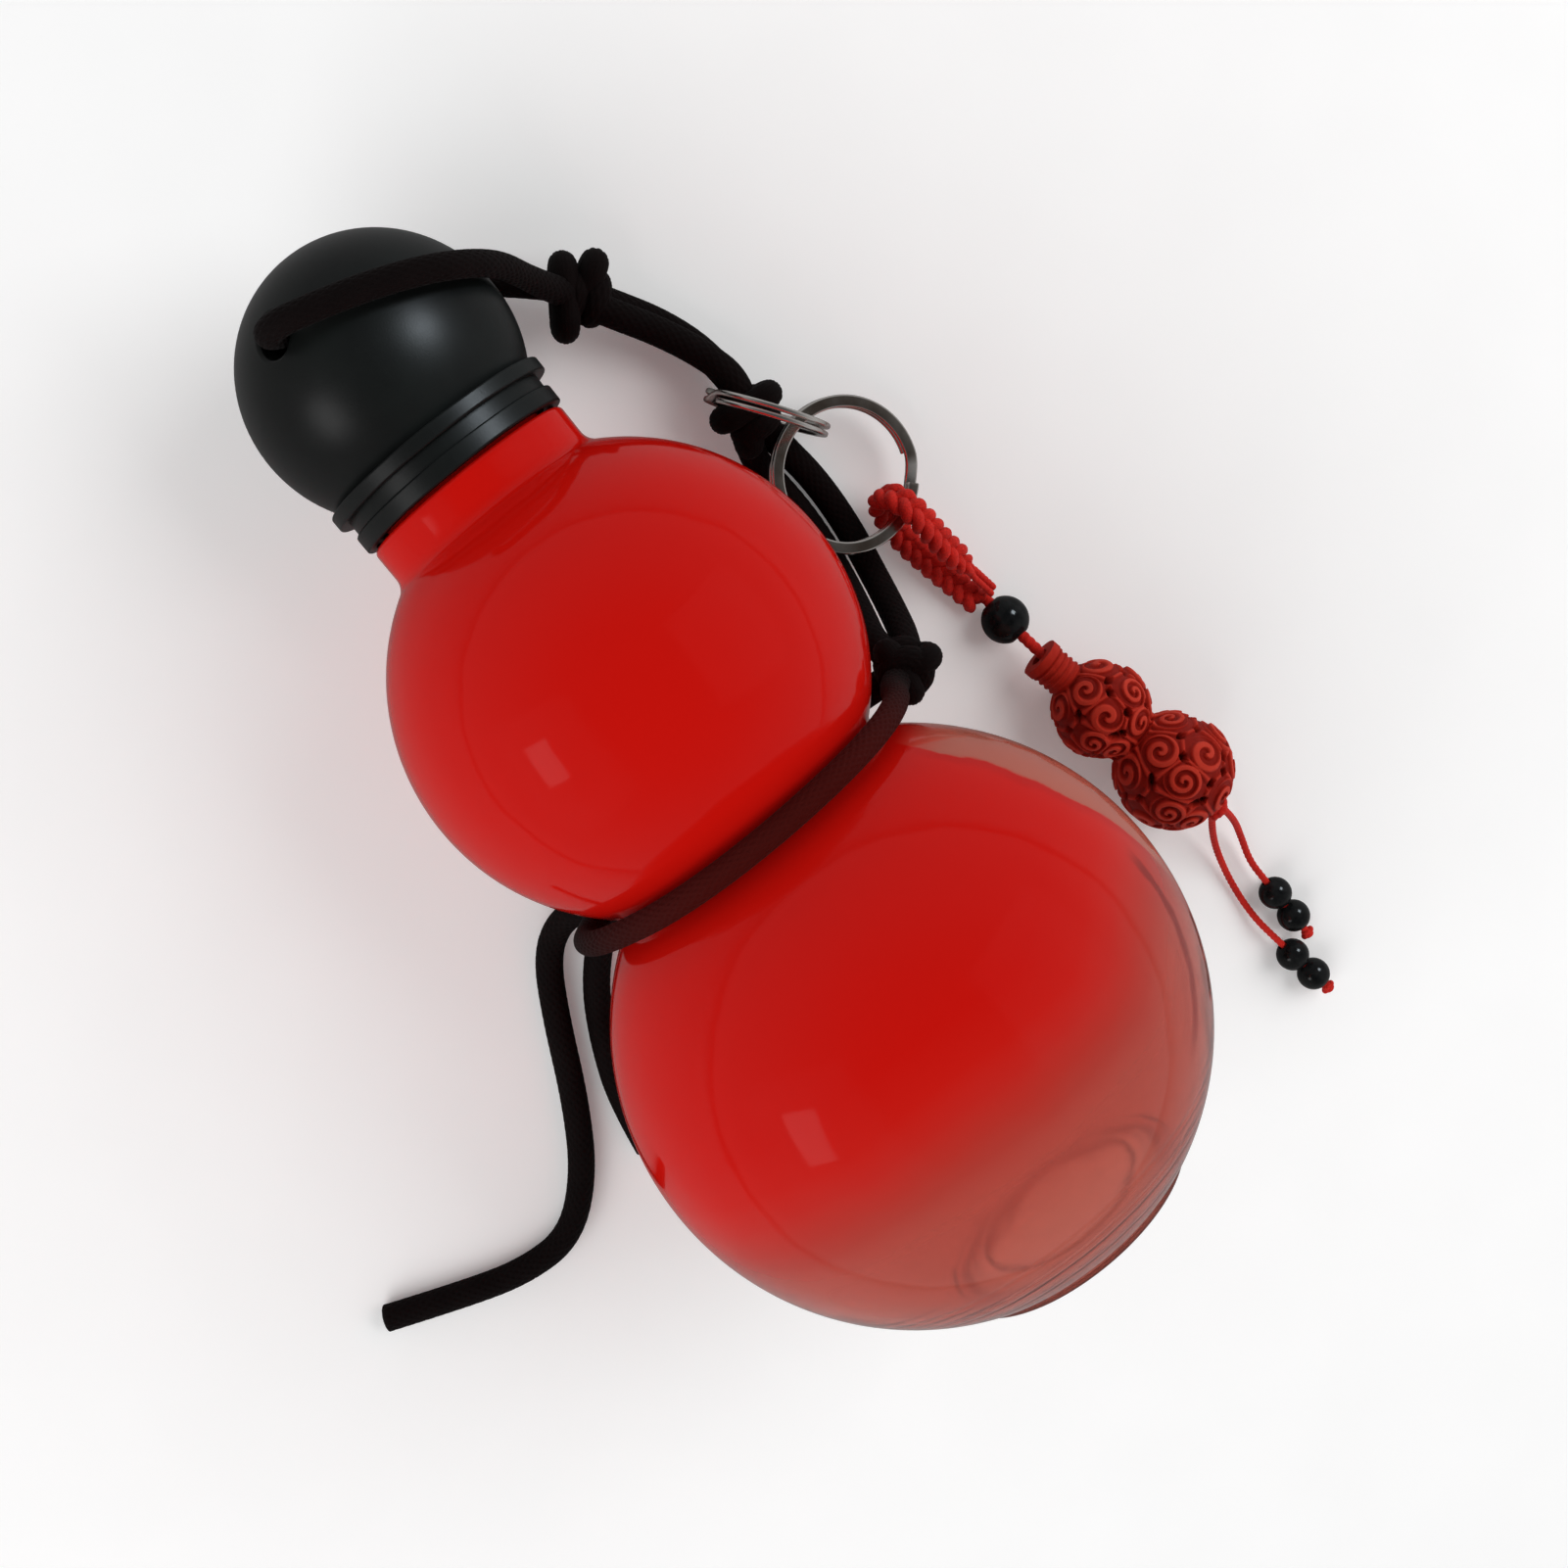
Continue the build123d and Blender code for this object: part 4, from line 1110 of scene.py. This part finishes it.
def carved_height(places, angles, radii):
    """The lacquer's carving, from 0 in the hollows to 1 on the ridges, and how far the surface moves."""
    height = np.full(places.shape, 0.62)
    shift = np.zeros(places.shape)
    for middle, radius, pitch, latitudes in charm_bulbs:
        out = places - middle
        size = np.sqrt(out**2 + radii**2)
        ways = np.stack([out / size, radii / size * np.cos(angles), radii / size * np.sin(angles)], -1)
        middles, hands, pitches = scroll_places(radius, pitch, latitudes)
        apart = radius * np.arccos(np.clip(np.einsum("rci,mi->rcm", ways, middles), -1, 1))
        order = np.argsort(apart, axis=-1)[..., :3]
        first, second, third = np.moveaxis(np.take_along_axis(apart, order, -1), -1, 0)
        nearest, hand, winding = middles[order[..., 0]], hands[order[..., 0]], pitches[order[..., 0]]
        east = np.cross(np.array([1.0, 0.0, 0.0]), nearest)
        east /= np.linalg.norm(east, axis=-1, keepdims=True)
        north = np.cross(nearest, east)
        turn = np.arctan2(np.sum(ways * north, -1), np.sum(ways * east, -1)) * hand
        spiral = np.cos(turn + first / winding * tau)
        inner = np.clip((pitch * 0.50 - first) / (0.5 * mm), 0, 1)
        scroll = np.clip(0.5 + 1.2 * (spiral + 0.1), 0, 1) * inner
        rim = np.clip(1.35 - (second - first) / (0.75 * mm), 0, 1)
        pit = np.clip(1.4 - (third - first) / (1.15 * mm), 0, 1)
        pit = pit * pit * (3 - 2 * pit)
        carving = (0.26 + 0.66 * np.maximum(scroll, 0.8 * rim)) * (1 - 0.95 * pit)
        dome = 1 - (first / (0.62 * pitch)) ** 2
        on_bulb = (radii > charm_neck_radius + 0.2 * mm) & (np.abs(size - radius) < 0.5 * mm)
        height = np.where(on_bulb, carving, height)
        moved = (carving - 0.92) * carving_depth - pit * pit_depth + (dome - 0.7) * dome_height
        shift = np.where(on_bulb, moved, shift)
    return height, shift


def charm_profile():
    """The outline of the charm, from the bottom of its bore, outside, to its mouth, and back inside."""
    upper, lower = (0, 0), (charm_spacing, 0)
    half_bore = charm_bore / 2
    base = charm_spacing + charm_base_distance
    base_radius = sqrt(charm_lower_radius**2 - charm_base_distance**2)
    waist = crossing(upper, charm_upper_radius + charm_fillet, lower, charm_lower_radius + charm_fillet)
    outline = straight((base, half_bore), (base, base_radius), 16)
    outline += arc(lower, charm_lower_radius, angle_of((base, base_radius), lower), angle_of(waist, lower), 170)[1:]
    outline += arc(waist, charm_fillet, angle_of(waist, lower) + 180, angle_of(waist, upper) + 180, 12)[1:]
    neck_place = -sqrt(charm_upper_radius**2 - charm_neck_radius**2)
    neck = (neck_place, charm_neck_radius)
    outline += arc(upper, charm_upper_radius, angle_of(waist, upper), angle_of(neck, upper), 130)[1:]
    for k in range(1, 61):
        along = neck_place + (-charm_neck_length - neck_place) * k / 60
        outline.append((along, charm_neck_radius + neck_ring_height * neck_rings(along)))
    mouth = -charm_neck_length
    outline += straight(outline[-1], (mouth, half_bore), 8)[1:]
    outline += straight((mouth, half_bore), (base, half_bore), 20)[1:]
    return outline[:-1]


def neck_rings(along):
    """The turned rings on the charm's neck, and its flared lip."""
    from_mouth = along + charm_neck_length
    if from_mouth < charm_lip_length:
        return 1.3
    return max(0.0, cos((from_mouth - charm_lip_length) / (1.15 * mm) * tau - 2.6)) * 0.9


scroll_pitch = 2.05 * mm
neck_ring_height = 0.36 * mm
charm_bulbs = (
    (0.0, charm_upper_radius, 6.3 * mm, [radians(a) for a in (-44, 0, 42)]),
    (charm_spacing, charm_lower_radius, 7.0 * mm, [radians(a) for a in (-40, 2, 44)]),
)
carving_depth = 0.95 * mm
pit_depth = 0.9 * mm
dome_height = 0.32 * mm


def charm_surface():
    """The charm's surface with its carving, and the carving's height at each point."""
    profile = np.array(charm_profile())
    steps = 400
    angles = np.arange(steps) * tau / steps
    places, turns = np.meshgrid(profile[:, 0], angles, indexing="ij")
    radii = np.repeat(profile[:, 1:2], steps, 1)
    height, shift = carved_height(places, turns, radii)
    bored = radii < charm_bore / 2 + 1e-7
    height = np.where(bored, 0.2, height)
    shift = shift * (radii > charm_neck_radius + 0.6 * mm) * ~bored
    up = Vector((0, 0, 1)) - charm_way * charm_way.z
    surface = turned(
        profile, charm_upper_centre, charm_way, up.normalized(), steps, lambda a, t, r: shift, closed=True
    )
    return surface, height.ravel()


carved, carved_values = charm_surface()
piece(
    "gourd_charm_carved", carved, lacquer_look, "gourd_charm", ["gourd_charm"],
    {"carve": carved_values},
)
bead("large_bead_polished", large_bead_centre, large_bead_way, large_bead_diameter, 1.6 * mm, 2.5 * mm,
     "large_bead")

charm_cord_line = smooth_line([
    large_bead_centre - large_bead_way * 4.9 * mm,
    charm_mouth - charm_way * 1.6 * mm,
    charm_base + charm_way * end_knot_radius,
])
end_knot_centre = (charm_base + charm_way * end_knot_radius) / mm
end_knot = piece("end_knot", tied(
    end_knot_centre, charm_way,
    [[end_knot_centre + Vector((0.3, -0.9, 0.2)), end_knot_centre + Vector((-0.5, 0.9, -0.1))]],
    1.5 * mm, 0.8 * mm, 1.1 * mm, 0.55 * mm, 16, thin_ply,
), red_yarn, "charm", ["charm_end_knot"])
red_cord("charm_cord_run", tube(charm_cord_line, thread_diameter / 2, 20, 0.25 * mm, ply),
         ["charm_cord"])

tail_routes = {
    "right": route(
        (-68.9, -64.9, 11.0), (-73.4, -66.4, 7.4), (-79.2, -66.6, 3.2), (-84.4, -65.6, 2.2),
        (-88.4, -65.6, 2.95), (-102.4, -66.4, 2.95),
    ),
    "left": route(
        (-68.6, -63.0, 10.6), (-72.8, -62.2, 6.8), (-79.0, -61.6, 2.6), (-86.4, -60.8, 1.0),
        (-93.0, -60.4, 1.6), (-98.4, -60.9, 2.95), (-113.6, -63.7, 2.95),
    ),
}
first_bead_share = {"right": 0.27, "left": 0.36}
bead_number = 0
for side, points in tail_routes.items():
    line = smooth_line(points)
    along = (points[-1] - points[-2]).normalized()
    stop = points[-1] / mm
    stop_knot = piece(f"stop_knot_{side}", tied(
        stop, along, [[stop + Vector((0.2, -0.55, 0.1)), stop + Vector((-0.2, 0.55, -0.1))]],
        0.95 * mm, 0.5 * mm, 0.7 * mm, 0.35 * mm, 12,
    ), red_yarn, "charm", [f"charm_stop_knot_{side}"])
    red_cord(f"tail_{side}", tube(line, tail_diameter / 2, 14, cord_step, thin_ply),
             [f"charm_tail_{side}"])
    first = points[-2] + (points[-1] - points[-2]) * first_bead_share[side]
    for k in range(2):
        bead_number += 1
        bead(f"small_bead_{bead_number}_polished", first + along * small_bead_diameter * k, along,
             small_bead_diameter, 0.95 * mm, 1.7 * mm, f"small_bead_{bead_number}")


# Stage: floor, light and camera

def make_floor():
    """A pale floor, which also shows pale in metal and through clear plastic."""
    material, tree, shader = new_material("floor")
    grain = noise(tree, 25 * mm)
    rays = tree.nodes.new("ShaderNodeLightPath").outputs
    pale = colour_ramp(tree, grain, (0.3, (0.93, 0.93, 0.93)), (0.7, (0.95, 0.95, 0.95)))
    mirrored = times(tree, rays["Is Glossy Ray"], 0.6)
    seen = times(tree, rays["Is Transmission Ray"], 0.45)
    seen = scaled(tree, rays["Is Camera Ray"], 0.14, seen)
    dress(tree, shader, base_color=mixed(tree, mirrored, pale, (0, 0, 0)), roughness=0.8, specular=0.2,
          emission_color=(1, 1, 1, 1), emission_strength=seen)
    mesh = bpy.data.meshes.new("floor")
    corners = [(x * floor_reach, y * floor_reach, 0) for x, y in ((-1, -1), (1, -1), (1, 1), (-1, 1))]
    mesh.from_pydata(corners, [], [(0, 1, 2, 3)])
    mesh.materials.append(material)
    floor = bpy.data.objects.new("floor", mesh)
    bpy.context.scene.collection.objects.link(floor)


def make_lamp(name, way, distance, size, power, mirrored=True, only=(), tint=(1, 1, 1)):
    """A soft lamp that faces the bottle. Gloss can be kept from mirroring it, and it can light some pieces only."""
    data = bpy.data.lights.new(name, "AREA")
    data.shape = "RECTANGLE"
    data.size, data.size_y = size
    data.energy = power
    data.color = tint
    lamp = bpy.data.objects.new(name, data)
    lamp.location = Vector(way).normalized() * distance
    lamp.rotation_mode = "QUATERNION"
    lamp.rotation_quaternion = Vector(way).to_track_quat("Z", "Y")
    lamp.visible_glossy = mirrored
    bpy.context.scene.collection.objects.link(lamp)
    if only:
        lit = bpy.data.collections.new(name)
        for made in only:
            lit.objects.link(made)
        lamp.light_linking.receiver_collection = lit


def make_world():
    """A studio that is pale low down and darker overhead."""
    made = bpy.data.worlds.new("world")
    made.use_nodes = True
    tree = made.node_tree
    height = add_node(tree, "ShaderNodeSeparateXYZ", (place_of(tree),)).outputs["Z"]
    shades = [(place, (shade, shade, shade)) for place, shade in world_shades]
    background = tree.nodes["Background"]
    connect(tree, colour_ramp(tree, height, *shades), background.inputs["Color"])
    mirrored = tree.nodes.new("ShaderNodeLightPath").outputs["Is Glossy Ray"]
    connect(tree, scaled(tree, mirrored, -0.45, 1.0), background.inputs["Strength"])
    bpy.context.scene.world = made


def make_camera():
    """The camera at the photograph's place."""
    data = bpy.data.cameras.new("camera")
    data.sensor_width = sensor_width
    data.lens = focal_pixels / photo_pixels * sensor_width
    data.clip_start = 10 * mm
    camera = bpy.data.objects.new("camera", data)
    right = camera_right.normalized()
    back = right.cross(-camera_down).normalized()
    turn = Matrix((right, back.cross(right), back)).transposed()
    camera.matrix_world = Matrix.Translation(camera_place) @ turn.to_4x4()
    bpy.context.scene.collection.objects.link(camera)
    bpy.context.scene.camera = camera


floor_reach = 3.0
world_shades = ((0.0, 0.72), (0.45, 0.50), (0.8, 0.20), (1.0, 0.10))
make_world()
make_floor()
make_lamp("left_softbox", (-0.05, 0.77, 0.63), 1.0, (1.0, 0.8), 5.4, False)
make_lamp("right_softbox", (-0.06, -0.72, 0.69), 1.0, (0.8, 0.8), 5.2, False)
make_lamp("window", (0.05, 0.80, 0.58), 1.1, (0.34, 0.22), 0.26)
blacks = [made for made in bpy.context.scene.objects if "bead" in made.name or made.name == "cap_cover"]
make_lamp("sheen", (0.235, -0.699, 0.673), 1.1, (0.30, 0.30), 7.5, True, blacks, (0.82, 0.92, 1.0))
make_lamp("dim_sheen", (0.10, 0.80, 0.58), 1.1, (0.5, 0.4), 2.2, True, blacks)
make_camera()
bpy.context.scene.view_settings.view_transform = "Standard"
